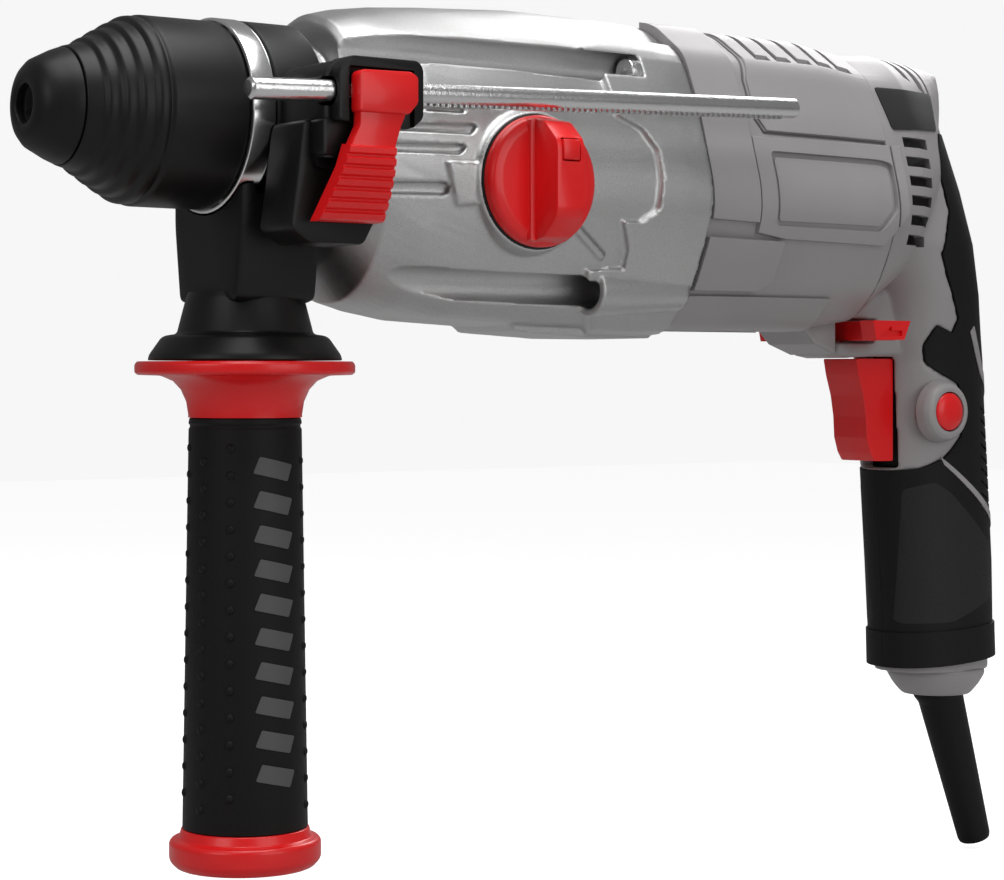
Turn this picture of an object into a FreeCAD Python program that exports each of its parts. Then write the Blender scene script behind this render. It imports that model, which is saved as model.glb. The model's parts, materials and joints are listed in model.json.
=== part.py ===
import FreeCAD, Part
import math
import os
import re
import Sketcher

# A rotary hammer with a pistol grip: X runs along the spindle, from the nose to the rear,
# +Z is up, and the origin is the centre of the tool socket's mouth. Lengths are millimetres.

Vector = FreeCAD.Vector
Rotation = FreeCAD.Rotation

doc = FreeCAD.newDocument("rotary_hammer")
dims = doc.addObject("Spreadsheet::Sheet", "dims")

DIMENSIONS = {
    "fit_gap": 0.05,            # radial running clearance of shafts and slides
    "free_gap": 0.3,            # clearance between parts that only pass each other
    "bore_radius": 5,           # shank bore of the tool socket
    "bore_depth": 44,
    "guide_end": 22,            # the close part of the bore ends in front of the balls
    "ball_at": 26,              # locking balls, behind the plain guide of the bore
    "ball_radius": 3.4,
    "cap_front": -3,            # rubber dust cap on the nose
    "cap_seam": 8,
    "cap_radius": 16,
    "sleeve_rear": 52.4,        # sliding lock sleeve
    "sleeve_radius": 26.2,
    "sleeve_inside": 11.4,
    "ring_front": 51.8,         # steel ring behind the sleeve
    "ring_rear": 59.1,
    "ring_radius": 27.1,
    "holder_radius": 11,        # tool holder, and the hammer tube that follows it
    "spring_wire": 0.9,
    "tube_start": 48,
    "tube_radius": 14,
    "tube_bore": 11.5,
    "tube_bore_start": 86,
    "tube_rear": 150,
    "anvil_bore": 8,
    "neck_front": 59.5,         # collar of the gear housing that carries the side handle
    "neck_radius": 21.5,
    "neck_bore": 17,
    "case_front": 83,           # gear housing
    "case_full": 104,
    "case_rear": 202,
    "case_high": 47,
    "case_wide": 41,
    "case_axis": -10,
    "case_wall": 3.5,
    "motor_rear": 282,          # motor housing
    "motor_high": 45.2,
    "motor_wide": 40,
    "motor_axis": -11,
    "well_radius": 5,           # grooves in the gear housing that lead to its screws
    "stator_radius": 35,
    "stator_bore": 20.6,
    "armature_axis": -10.5,
    "shaft_axis": -31,          # intermediate shaft below the spindle
    "shaft_radius": 6,
    "wobble_at": 160,
    "gear_module": 1,
    "knob_at": 137,             # mode knob on the left side
    "knob_axis": -17,
    "knob_radius": 18.3,
    "knob_face": -41.3,
    "knob_throw": 4,            # offset of the knob's pin
    "handle_at": 65,            # side handle
    "flange_top": -68.3,
    "rubber_top": -85,
    "rubber_foot": -199,
    "rod_radius": 3,            # depth rod
    "rod_length": 191.5,
    "rod_front": 37.5,
    "rod_side": -48.6,
    "rod_height": 2.3,
    "rod_tilt": 2,
    "trigger_front": 294,       # trigger and the controls round it
    "trigger_top": -66.5,
    "trigger_foot": -101,
    "trigger_half": 8,
    "lever_at": 292,
    "lever_height": -57.5,
    "lock_at": 323,
    "lock_height": -84.3,
    "lock_radius": 6.35,
    "skin": 1.6,                # rubber on the pistol grip
    "shell_wall": 2.6,
    "grip_foot": -173,
    "guard_at": 340.5,          # cable guard
    "guard_pivot": -179,
    "guard_length": 58,
    "guard_lean": 18.4,
    "cable_radius": 3.6,
}
for row, (alias, size) in enumerate(DIMENSIONS.items(), start=1):
    dims.set("A%d" % row, alias.replace("_", " "))
    dims.set("B%d" % row, str(size))
    dims.setAlias("B%d" % row, alias)
doc.recompute()

pieces = []


# ---- helpers: each length is an expression on the sheet's words ----

def bound(text):
    """The expression with each alias written as a cell of the sheet."""
    return re.sub(r"[a-z]\w*", lambda word: "dims." + word.group(), str(text))


def measure(text):
    """The value of an expression now."""
    return float(dims.evalExpression(str(text)))


def drive(thing, **lengths):
    """Binds properties of an object to expressions, and returns the object."""
    for name, text in lengths.items():
        thing.setExpression(name, bound(text))
    return thing


def put(thing, x=0, y=0, z=0, turn=None):
    """Places an object: a turn first, then a position given by expressions."""
    thing.Placement = FreeCAD.Placement(Vector(measure(x), measure(y), measure(z)), turn or Rotation())
    for axis, text in (("x", x), ("y", y), ("z", z)):
        thing.setExpression("Placement.Base." + axis, bound(text))
    return thing


def piece(label, thing):
    """Names an object as a finished piece of the tool."""
    thing.Label = label
    pieces.append(thing)
    return thing


ALONG_X = Rotation(Vector(0, 1, 0), 90)
ALONG_Y = Rotation(Vector(1, 0, 0), -90)
RADIAL = {"x": ALONG_X, "y": ALONG_Y, "z": Rotation()}


def rod(name, radius, length, axis="x", x=0, y=0, z=0):
    """A cylinder that starts at a point and runs along a row axis."""
    thing = drive(doc.addObject("Part::Cylinder", name), Radius=radius, Height=length)
    return put(thing, x, y, z, RADIAL[axis])


def box(name, low, high):
    """A box between two corners."""
    thing = doc.addObject("Part::Box", name)
    spans = ["(%s) - (%s)" % (top, bottom) for bottom, top in zip(low, high)]
    drive(thing, Length=spans[0], Width=spans[1], Height=spans[2])
    return put(thing, *low)


def fuse(name, *things):
    result = doc.addObject("Part::MultiFuse", name)
    result.Refine = False
    result.Shapes = list(things)
    return result


def cut(name, base, *tools):
    """The base with each tool cut away in turn."""
    for index, tool in enumerate(tools, start=1):
        result = doc.addObject("Part::Cut", name if index == len(tools) else "%s_cut%d" % (name, index))
        result.Refine = False
        result.Base = base
        result.Tool = tool
        base = result
    return base


def common(name, base, tool):
    result = doc.addObject("Part::Common", name)
    result.Refine = False
    result.Base = base
    result.Tool = tool
    return result


def group(name, *things):
    """Separate solids that are one node, such as a set of screws."""
    result = doc.addObject("Part::Compound", name)
    result.Links = list(things)
    return result


def outline(body, points, plane="XZ_Plane"):
    """A closed sketch through points whose coordinates are expressions."""
    sketch = body.newObject("Sketcher::SketchObject", body.Name + "_outline")
    base = [item for item in body.Origin.OriginFeatures if item.Role == plane][0]
    sketch.AttachmentSupport = [(base, "")]
    sketch.MapMode = "FlatFace"
    spots = [Vector(measure(across), measure(up), 0) for across, up in points]
    for index, spot in enumerate(spots):
        sketch.addGeometry(Part.LineSegment(spot, spots[(index + 1) % len(spots)]), False)
    for index in range(len(spots)):
        sketch.addConstraint(Sketcher.Constraint("Coincident", index, 2, (index + 1) % len(spots), 1))
    for index, (spot, point) in enumerate(zip(spots, points)):
        for kind, size, text in (("DistanceX", spot.x, point[0]), ("DistanceY", spot.y, point[1])):
            number = sketch.addConstraint(Sketcher.Constraint(kind, -1, 1, index, 1, size))
            if re.search("[a-z]", str(text)):
                sketch.setExpression("Constraints[%d]" % number, bound(text))
    return sketch


def turned(name, points, axis="x"):
    """A turned body: the outline gives place along the axis, then radius."""
    body = doc.addObject("PartDesign::Body", name)
    if axis == "z":
        points = [(radius, along) for along, radius in points]
    sketch = outline(body, points)
    turn = body.newObject("PartDesign::Revolution", name + "_turn")
    turn.Profile = sketch
    turn.ReferenceAxis = (sketch, ["H_Axis" if axis == "x" else "V_Axis"])
    turn.Angle = 360
    return body


def plate(name, points, width, plane="XZ_Plane"):
    """A plate: the outline lies in a plane and is padded equally to both sides of it."""
    body = doc.addObject("PartDesign::Body", name)
    sketch = outline(body, points, plane)
    pad = body.newObject("PartDesign::Pad", name + "_pad")
    pad.Profile = sketch
    drive(pad, Length=width)
    pad.Midplane = True
    return body


def tube(name, start, length, outer, inner, z=0):
    """A plain ring along X."""
    end = "%s + %s" % (start, length)
    points = [(start, inner), (start, outer), (end, outer), (end, inner)]
    return put(turned(name, points), z=z)


def loft(name, sections, axis):
    """A solid through ellipses along X or Z. Each one is place, centre, half height or depth, half width."""
    rings = []
    for index, (along, centre, first, second) in enumerate(sections):
        ring = doc.addObject("Part::Ellipse", "%s_ring%d" % (name, index))
        drive(ring, MajorRadius=first, MinorRadius=second)
        if axis == "x":
            put(ring, along, 0, centre, Rotation(Vector(0, 1, 0), -90))
        else:
            put(ring, centre, 0, along)
        rings.append(ring)
    body = doc.addObject("Part::Loft", name)
    body.Sections = rings
    body.Solid = True
    body.Ruled = True
    return body


def gear(name, teeth, start, length, bore, z, phase=0):
    """A spur gear of straight-sided teeth, slightly thin so that a pair runs freely."""
    body = doc.addObject("Part::Feature", name)
    size = measure("gear_module")
    pitch_radius = teeth * size / 2
    tip = pitch_radius + 0.85 * size
    root = pitch_radius - 1.1 * size
    step = 2 * math.pi / teeth
    corners = []
    for tooth in range(teeth):
        middle = tooth * step + math.radians(phase)
        for radius, share in ((root, -0.34), (tip, -0.10), (tip, 0.10), (root, 0.34)):
            angle = middle + share * step
            corners.append(Vector(0, radius * math.cos(angle), radius * math.sin(angle)))
    corners.append(corners[0])
    face = Part.Face(Part.makePolygon(corners))
    blank = face.extrude(Vector(measure(length), 0, 0))
    hole = Part.makeCylinder(measure(bore), measure(length), Vector(0, 0, 0), Vector(1, 0, 0))
    body.Shape = blank.cut(hole)
    return put(body, start, 0, z)


# ---- nose: the tool holder and what turns with it ----

def make_tool_holder():
    blank = turned("tool_holder_blank", [
        (0, "bore_radius"), (0, 9.5), (30, 9.5), (30, "holder_radius"),
        ("tube_start", "holder_radius"), ("tube_start", "tube_radius"),
        ("tube_rear", "tube_radius"), ("tube_rear", "tube_bore"),
        ("tube_bore_start", "tube_bore"), ("tube_bore_start", "anvil_bore"),
        ("bore_depth + 3", "anvil_bore"), ("bore_depth", "bore_radius + 0.25"),
        ("guide_end", "bore_radius + 0.25"), ("guide_end", "bore_radius")])
    pockets = rod("ball_pockets", "ball_radius + fit_gap", 30, "z", "ball_at", 0, -15)
    drilled = cut("tool_holder_drilled", blank, pockets)
    keys = [box("drive_key_%d" % side, (32, -1.2, min(3.9 * side, 5.6 * side)),
                ("bore_depth - 2", 1.2, max(3.9 * side, 5.6 * side))) for side in (-1, 1)]
    piece("tool_holder", fuse("tool_holder", drilled, *keys))


def make_nose():
    piece("dust_cap", turned("dust_cap", [
        ("cap_front", "bore_radius + 0.4"), ("cap_front", 9), ("cap_front + 1", 11),
        ("cap_front + 3.5", 13.4), ("cap_seam", "cap_radius"), ("cap_seam", 9.7),
        ("-fit_gap", 9.7), ("-fit_gap", "bore_radius + 0.4")]))
    piece("locking_sleeve", turned("locking_sleeve", [
        ("cap_seam + fit_gap * 4", "sleeve_inside"), ("cap_seam + fit_gap * 4", "cap_radius + 0.1"),
        (15, 18), (16, 20.2), (19, 21.4), (20, 22.6), (23, 23.4), (24, 24.6), (27, 25.2),
        (28.5, "sleeve_radius"), ("sleeve_rear", "sleeve_radius"), ("sleeve_rear", 25), (33, 25),
        (33, "sleeve_inside")]))
    piece("chuck_ring", turned("chuck_ring", [
        ("ring_front", "ring_radius - 0.6"), ("ring_front", "ring_radius"), ("ring_rear", "ring_radius"),
        ("ring_rear", "tube_radius"), (50, "tube_radius"), (50, 16), ("ring_rear - 0.8", 16),
        ("ring_rear - 0.8", "ring_radius - 0.6")]))
    balls = []
    for side in (-1, 1):
        ball = drive(doc.addObject("Part::Sphere", "ball_%d" % side), Radius="ball_radius")
        balls.append(put(ball, "ball_at", 0, "%d * 7.6" % side))
    piece("locking_balls", group("locking_balls", *balls))


def make_sleeve_spring():
    turns = []
    for index in range(4):
        turn = doc.addObject("Part::Torus", "spring_turn%d" % index)
        drive(turn, Radius1="holder_radius + 2.2", Radius2="spring_wire")
        turns.append(put(turn, "41.8 + %d * 1.7 * spring_wire" % index, 0, 0, ALONG_X))
    piece("sleeve_spring", fuse("sleeve_spring", *turns))


# ---- hammer mechanism inside the tube ----

def make_hammer():
    piece("impact_bolt", turned("impact_bolt", [
        (46, 0), (46, 4.6), (56, 4.6), (59, "anvil_bore - fit_gap"), (76, "anvil_bore - fit_gap"),
        (78, 5.5), (92, 5.5), (92, 0)]))
    piece("striker", turned("striker", [
        (110, 0), (110, 6), (112, 8.5), (114, 9), (134, 9), (134, 0)]))
    barrel = turned("piston_barrel", [
        (106, 9.05), (106, "tube_bore - fit_gap"), (172, "tube_bore - fit_gap"), (172, 0),
        (142, 0), (142, 9.05)])
    pin_hole = rod("pin_hole", 5.55, 30, "y", "wobble_at", -15, 0)
    slot = box("finger_slot", ("wobble_at - 7", -4.2, -14), ("wobble_at + 7", 4.2, 8))
    flats = [box("piston_flat_%d" % side, (146, min(8.6 * side, 13 * side), -13),
                 (174, max(8.6 * side, 13 * side), 13)) for side in (-1, 1)]
    piece("piston", cut("piston", barrel, pin_hole, slot, *flats))
    pin = rod("piston_pin_blank", 5.5, 17, "y", "wobble_at", -8.5, 0)
    piece("piston_pin", cut("piston_pin", pin, rod("pin_cross_hole", 3.75, 14, "z", "wobble_at", 0, -7)))


def make_wobble():
    ring = tube("wobble_race", "wobble_at - 4.5", 9, 15, 11, z="shaft_axis")
    finger = turned("wobble_finger", [
        ("shaft_axis + 13", 0), ("shaft_axis + 13", 4.5), ("shaft_axis + 17", 3.5), (4.4, 3.5), (4.4, 0)], "z")
    put(finger, "wobble_at")
    piece("wobble_ring", fuse("wobble_ring", ring, finger))


# ---- gear train: armature pinion, intermediate shaft, spindle gear ----

SPINDLE_TEETH = 46
SHAFT_PINION_TEETH = 16
SHAFT_GEAR_TEETH = 33
ARMATURE_TEETH = 8


def make_gears():
    piece("spindle_gear", gear("spindle_gear", SPINDLE_TEETH, 111, 8, "tube_radius", 0, 270))
    pinion = gear("shaft_pinion", SHAFT_PINION_TEETH, 110, 10, "shaft_radius - 1", "shaft_axis",
                  90 + 180 / SHAFT_PINION_TEETH)
    spine = turned("shaft_spine", [
        (96, 0), (96, 4), (107, 4), (107, "shaft_radius"), ("wobble_at - 8", "shaft_radius"),
        ("wobble_at - 7", 7), ("wobble_at - 5", 9.2), ("wobble_at", 10.4), ("wobble_at + 5", 9.2),
        ("wobble_at + 7", 7), ("wobble_at + 20", 7), (188, 4), (198, 4), (198, 0)])
    put(spine, z="shaft_axis")
    piece("intermediate_shaft", fuse("intermediate_shaft", spine, pinion))
    wheel = gear("intermediate_gear", SHAFT_GEAR_TEETH, 182, 7, 6.6, "shaft_axis", 90)
    piece("intermediate_gear", wheel)
    piece("clutch_sleeve", put(turned("clutch_sleeve", [
        (126, "shaft_radius + fit_gap"), (126, 10), (128.9, 10), (128.9, 8.2), (133.1, 8.2), (133.1, 10),
        (136, 10), (136, "shaft_radius + fit_gap")]), z="shaft_axis"))
    drive_pinion = gear("drive_pinion", ARMATURE_TEETH, 181.4, 8.4, 1.5, "armature_axis",
                        270 + 180 / ARMATURE_TEETH)
    shaft = put(turned("armature_spine", [
        (181.4, 0), (181.4, 2.6), (189.8, 2.6), (189.8, 4), (297, 4), (297, 0)]), z="armature_axis")
    piece("armature_shaft", fuse("armature_shaft", shaft, drive_pinion))


# ---- electric motor ----

def make_armature():
    core = tube("core_blank", 222, 40, 20, 4, z="armature_axis")
    slots = []
    for index in range(12):
        angle = index * 30
        slot = drive(doc.addObject("Part::Box", "core_slot%d" % index), Length=42, Width=2.4, Height=6)
        spin = Rotation(Vector(1, 0, 0), angle)
        offset = spin.multVec(Vector(0, -1.2, 15.5))
        slots.append(put(slot, 221, offset.y, "armature_axis + %.4f" % offset.z, spin))
    piece("armature_core", cut("armature_core", core, *slots))
    piece("commutator", tube("commutator", 269, 14, 11, 4, z="armature_axis"))
    hub = tube("fan_hub", 205, 9, 9, 4, z="armature_axis")
    disc = tube("fan_disc", 212, 2, 32.5, 9, z="armature_axis")
    blades = []
    for index in range(11):
        blade = drive(doc.addObject("Part::Box", "blade%d" % index), Length=8, Width=1.4, Height=24)
        spin = Rotation(Vector(1, 0, 0), index * 360 / 11)
        offset = spin.multVec(Vector(0, -0.7, 8))
        blades.append(put(blade, 205, offset.y, "armature_axis + %.4f" % offset.z, spin))
    piece("cooling_fan", fuse("cooling_fan", hub, disc, *blades))


def sector(name, radius, start, length, middle, spread):
    """A slice of a cylinder along X, centred on an angle from the top."""
    slice_ = drive(doc.addObject("Part::Cylinder", name), Radius=radius, Height=length, Angle=spread)
    turn = Rotation(Vector(1, 0, 0), middle).multiply(ALONG_X)
    back = turn.multiply(Rotation(Vector(0, 0, 1), 180 - spread / 2))
    return put(slice_, start, 0, "armature_axis", back)


def make_stator():
    ring = tube("stator_ring", 222, 40, "stator_radius", "stator_bore", z="armature_axis")
    windows = []
    coils = []
    for name, middle in (("upper", 0), ("lower", 180)):
        for side in (-1, 1):
            label = "%s_%d" % (name, side)
            window = cut("window_" + label, sector("window_out_" + label, 29.5, 220, 44, middle + side * 65, 34),
                         rod("window_in_" + label, 20.2, 46, "x", 219, 0, "armature_axis"))
            windows.append(window)
        outer = sector("coil_out_" + name, 28.8, 217, 50, middle, 160)
        inner = rod("coil_in_" + name, 22, 54, "x", 215, 0, "armature_axis")
        pole = sector("coil_pole_" + name, 30, 221.4, 41.2, middle, 100)
        coils.append(cut("coil_" + name, outer, inner, pole))
    piece("stator_core", cut("stator_core", ring, *windows))
    piece("field_coils", group("field_coils", *coils))


def make_brushes():
    holders = []
    brushes = []
    for side in (-1, 1):
        low = min(side * 13, side * 28)
        shell = box("holder_shell_%d" % side, (271, low, "armature_axis - 5"), (281, low + 15, "armature_axis + 5"))
        hole = box("holder_hole_%d" % side, (273, low - 1, "armature_axis - 3.1"),
                   (279, low + 16, "armature_axis + 3.1"))
        holders.append(cut("holder_%d" % side, shell, hole))
        near = min(side * 10, side * 24)
        block = box("brush_block_%d" % side, (273.2, near, "armature_axis - 2.9"),
                    (278.8, near + 14, "armature_axis + 2.9"))
        drum = rod("brush_drum_%d" % side, "11 + fit_gap", 20, "x", 266, 0, "armature_axis")
        brushes.append(cut("brush_%d" % side, block, drum))
    piece("brush_holders", group("brush_holders", *holders))
    piece("carbon_brushes", group("carbon_brushes", *brushes))


# ---- bearings and the frames that hold them ----

SCREW_SPOTS = [(-28, 19), (28, 19), (-29, -44), (29, -44)]


def make_bearings():
    piece("front_bearing", tube("front_bearing", 66, 15, "neck_bore", "tube_radius + fit_gap"))
    piece("spindle_seal", tube("spindle_seal", 60, 4, "neck_bore", "tube_radius + fit_gap"))
    piece("tail_bearing", tube("tail_bearing", 141, 6, "neck_bore", "tube_radius + fit_gap"))
    piece("shaft_front_bearing", tube("shaft_front_bearing", 98, 7, 8, "4 + fit_gap", z="shaft_axis"))
    piece("shaft_rear_bearing", tube("shaft_rear_bearing", 191, 6, 8, "4 + fit_gap", z="shaft_axis"))
    piece("armature_front_bearing", tube("armature_front_bearing", 192, 7, 11, "4 + fit_gap", z="armature_axis"))
    piece("armature_rear_bearing", tube("armature_rear_bearing", 288, 7, 9, "4 + fit_gap", z="armature_axis"))
    bracket = box("bracket_plate", (141, -21, -44), (147, 21, 24))
    piece("bearing_bracket", cut("bearing_bracket", bracket,
                                 rod("bracket_seat", "neck_bore", 10, "x", 139, 0, 0),
                                 rod("bracket_pass", 11, 10, "x", 139, 0, "shaft_axis")))
    flange = rod("flange_plate", 37.2, 7, "x", 192, 0, "case_axis")
    corners = [rod("flange_corner%d" % index, "well_radius + 1.7", 10, "x", 190, y, z)
               for index, (y, z) in enumerate(SCREW_SPOTS)]
    piece("inner_flange", cut("inner_flange", flange, *corners,
                              rod("flange_seat", 11, 10, "x", 191, 0, "armature_axis"),
                              rod("flange_pocket", 8, 10, "x", 190, 0, "shaft_axis")))


# ---- gear housing ----


def make_gear_housing():
    outside = loft("case_outside", [
        ("case_front", 1, 29.5, 29.5), ("case_front + 8", -4, 37, 35),
        ("case_full", -8.5, 44.3, 39.5), ("case_full + 30", "case_axis", "case_high", "case_wide"),
        ("case_rear", "case_axis", "case_high + 0.6", "case_wide")], "x")
    inside = loft("case_inside", [
        ("case_front + 5", 1, 26, 26), ("case_front + 11", -4, 34, 32),
        ("case_full + 2", -8.5, 40.5, 36), ("case_full + 30", "case_axis", "case_high - case_wall",
                                            "case_wide - case_wall"),
        ("case_rear + 1", "case_axis", "case_high - case_wall", "case_wide - case_wall")], "x")
    neck = rod("neck", "neck_radius", "case_front - neck_front + 6", "x", "neck_front")
    neck_bore = rod("neck_hole", "neck_bore", 40, "x", "neck_front - 1")
    boss = rod("knob_boss", 20.5, 7, "y", "knob_at", "knob_face + 0.3", "knob_axis")
    shell = cut("case_shell", fuse("case_body", outside, neck), inside)
    seat = tube("shaft_seat", 98, 7, 10.5, 8, z="shaft_axis")
    web = box("shaft_web", (99, -2, -50), (104, 2, "shaft_axis - 9"))
    posts = [rod("screw_post%d" % index, "well_radius + 1.6", "case_rear - 124", "x", 124, y, z) for index, (y, z) in enumerate(SCREW_SPOTS)]
    inner_posts = [common("post%d" % index, post, outside) for index, post in enumerate(posts)]
    body = fuse("case_joined", shell, boss, seat, web, *inner_posts)
    holes = [neck_bore, rod("knob_hole", 8.4, 20, "y", "knob_at", -50, "knob_axis")]
    for index, (y, z) in enumerate(SCREW_SPOTS):
        holes.append(rod("screw_hole%d" % index, 2.6, 40, "x", 170, y, z))
        holes.append(rod("screw_well%d" % index, "well_radius", 48, "x", 126, y, z))
    piece("gear_housing", cut("gear_housing", body, *holes))
    screws = []
    for index, (y, z) in enumerate(SCREW_SPOTS):
        screw = turned("screw%d" % index, [
            (171, 1.6), (169.2, 1.6), (169.2, 4.4), (174, 4.4), (174, 2.5), (214, 2.5), (214, 0), (171, 0)])
        screws.append(put(screw, 0, y, z))
    piece("gear_housing_screws", group("gear_housing_screws", *screws))


# ---- motor housing ----

def make_motor_housing():
    outside = loft("motor_outside", [
        ("case_rear", "motor_axis", "motor_high + 1", "motor_wide + 0.6"),
        ("case_rear + 26", "motor_axis", "motor_high", "motor_wide"),
        ("motor_rear - 14", "motor_axis", "motor_high - 0.4", "motor_wide"),
        ("motor_rear", "motor_axis + 0.5", "motor_high - 1.7", "motor_wide - 0.4")], "x")
    lug = plate("motor_lug", [
        (264, -48), (266, -57.5), (272, -62), ("motor_rear", -66), ("motor_rear", -48)], 22)
    barrel = rod("motor_barrel", "stator_radius + fit_gap", 90, "x", "case_rear - 2", 0, "armature_axis")
    room = rod("brush_room", 33, 20, "x", "motor_rear - 14", 0, "armature_axis")
    holes = [rod("motor_screw_hole%d" % index, 2.6, 20, "x", "case_rear - 2", y, z)
             for index, (y, z) in enumerate(SCREW_SPOTS)]
    flange = rod("screw_ring", 45, 16, "x", "case_rear", 0, "motor_axis")
    ring = common("motor_ring", flange, outside)
    body = fuse("motor_body", outside, lug, ring)
    piece("motor_housing", cut("motor_housing", body, barrel, room, *holes))
    plates = [box("badge_%d" % side, (229, min(side * 40.05, side * 41.3), -29),
                  (277, max(side * 40.05, side * 41.3), -4)) for side in (-1, 1)]
    piece("badge_plates", group("badge_plates", *plates))


# ---- pistol grip: two shells, the rubber on them, and what they hold ----

GRIP = [(16, 307, 23, 22.8), (-10, 312, 28, 24), (-45, 326, 22, 20), (-67, 331, 22.5, 18.5),
        (-100, 333.5, 23, 18), (-136, 336, 23, 18), ("grip_foot", 337.5, 22.5, 18)]
REAR = [("motor_rear + 0.02", "motor_axis + 0.5", "motor_high - 1.7", "motor_wide - 0.4"),
        (302, -6, 37, 33), (318, 0, 26, 23), (332, 8, 15, 13)]


# Screws that enter from the right side and hold the two shells together: x, z, y of the head's face.
SHELL_SCREWS = [(300, 18, 25), (312, -34, 17), (345, -60, 10.8), (330, -118, 15.4), (333, -162, 15.4)]


def screw_room(name):
    """Counterbores and holes for the shell screws."""
    tools = []
    for index, (x, z, reach) in enumerate(SHELL_SCREWS):
        tools.append(rod("%s_head_room%d" % (name, index), 3.8, 30, "y", x, reach - 2.6, z))
        tools.append(rod("%s_stem_room%d" % (name, index), 2, reach + 8.5, "y", x, -8.5, z))
    return tools


def shrunk(sections, by):
    """The same sections with both half widths made smaller."""
    return [(along, centre, "%s - %s" % (first, by), "%s - %s" % (second, by))
            for along, centre, first, second in sections]


def make_handle():
    grip_full = loft("grip_full", GRIP, "z")
    grip_shell = loft("grip_shell", shrunk(GRIP, "skin"), "z")
    rear = loft("rear_outside", REAR, "x")
    nose = plate("handle_lug", [
        ("motor_rear + 0.02", -46), ("motor_rear + 0.02", -66), (300, -66), (316, -66), (316, -46)], 22)
    outside = fuse("handle_outside", grip_shell, rear, nose)
    inner_grip = [(24, 306, 15.5, 15)] + shrunk(GRIP[1:-1], "skin - shell_wall")
    inner_grip.append(("grip_foot - 1", 337.5, "22.5 - skin - shell_wall", "18 - skin - shell_wall"))
    grip_room = loft("grip_inside", inner_grip, "z")
    rear_room = loft("rear_inside", [
        ("motor_rear - 1", "motor_axis", "motor_high - 5", "motor_wide - 4"),
        (300, -6, 33, 29), (316, 0, 22, 19), (327, 7, 11, 9)], "x")
    trigger_gap = box("trigger_gap", (290, "-trigger_half - free_gap", "trigger_foot - 1"),
                      (325, "trigger_half + free_gap", "trigger_top + 0.6"))
    lever_gap = box("lever_gap", ("motor_rear - 1", -40, "lever_height - 3.8"),
                    (302.5, 40, "lever_height + 3.8"))
    button_gap = rod("button_gap", "lock_radius + free_gap", 40, "y", "lock_at", -32, "lock_height")
    shell = cut("handle_shell", outside, rear_room, grip_room, trigger_gap, lever_gap, button_gap)
    seat_bridge = box("seat_bridge", (288, -28, "armature_axis - 11.5"), (295, 28, "armature_axis + 11.5"))
    seat = cut("bearing_seat", seat_bridge, rod("seat_hole", 9, 12, "x", 286, 0, "armature_axis"))
    bosses = [common("screw_boss%d" % index, rod("boss_rod%d" % index, 4.6, 60, "y", x, -30, z), outside)
              for index, (x, z, reach) in enumerate(SHELL_SCREWS)]
    whole = cut("handle_whole", fuse("handle_solid", shell, seat, *bosses), *screw_room("shell"))
    halves = {"left": ((270, -60, -190), (370, 0, 60)), "right": ((270, 0, -190), (370, 60, 60))}
    for side, (low, high) in halves.items():
        half = common("handle_%s_half" % side, whole, box("handle_%s_room" % side, low, high))
        piece("handle_shell_" + side, half)
    rubber_shell = cut("rubber_shell", grip_full, loft("rubber_inside", [
        (17, 307, "23 - skin", "22.8 - skin")] + shrunk(GRIP[1:-1], "skin") + [
            ("grip_foot - 1", 337.5, "22.5 - skin", "18 - skin")], "z"))
    back = plate("rubber_back", [
        (330, 0), (345, 0), (372, -60), (372, -190), (300, -190), (300, -108), (334, -102), (342, -60),
        (332, -30)], 60)
    rubber = cut("rubber_whole", common("rubber_cover", rubber_shell, back), rear)
    rubber = cut("rubber_drilled", rubber, *screw_room("rubber"))
    for side, (low, high) in halves.items():
        piece("grip_overmould_" + side,
              common("overmould_" + side, rubber, box("overmould_%s_room" % side, low, high)))
    ring = rod("lock_ring_blank", 10.9, 4.5, "y", "lock_at", -21.8, "lock_height")
    socket = rod("lock_ring_hole", "lock_radius + free_gap", 12, "y", "lock_at", -26, "lock_height")
    piece("lock_ring", cut("lock_ring", ring, socket, grip_shell))
    piece("switch_module", box("switch_module", (318.5, -9, -103), (341, 9, -66)))


def make_handle_screws():
    screws = []
    for index, (x, z, reach) in enumerate(SHELL_SCREWS):
        tip = reach + 8
        screw = turned("shell_screw%d" % index, [
            (0.8, 0), (0.8, 1.5), (0, 1.5), (0, 3.6), (2.6, 3.6), (2.6, 1.9), (tip, 1.9), (tip, 0)])
        screws.append(put(screw, x, reach, z, Rotation(Vector(0, 0, 1), -90)))
    piece("handle_screws", group("handle_screws", *screws))


# ---- controls ----

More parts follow.
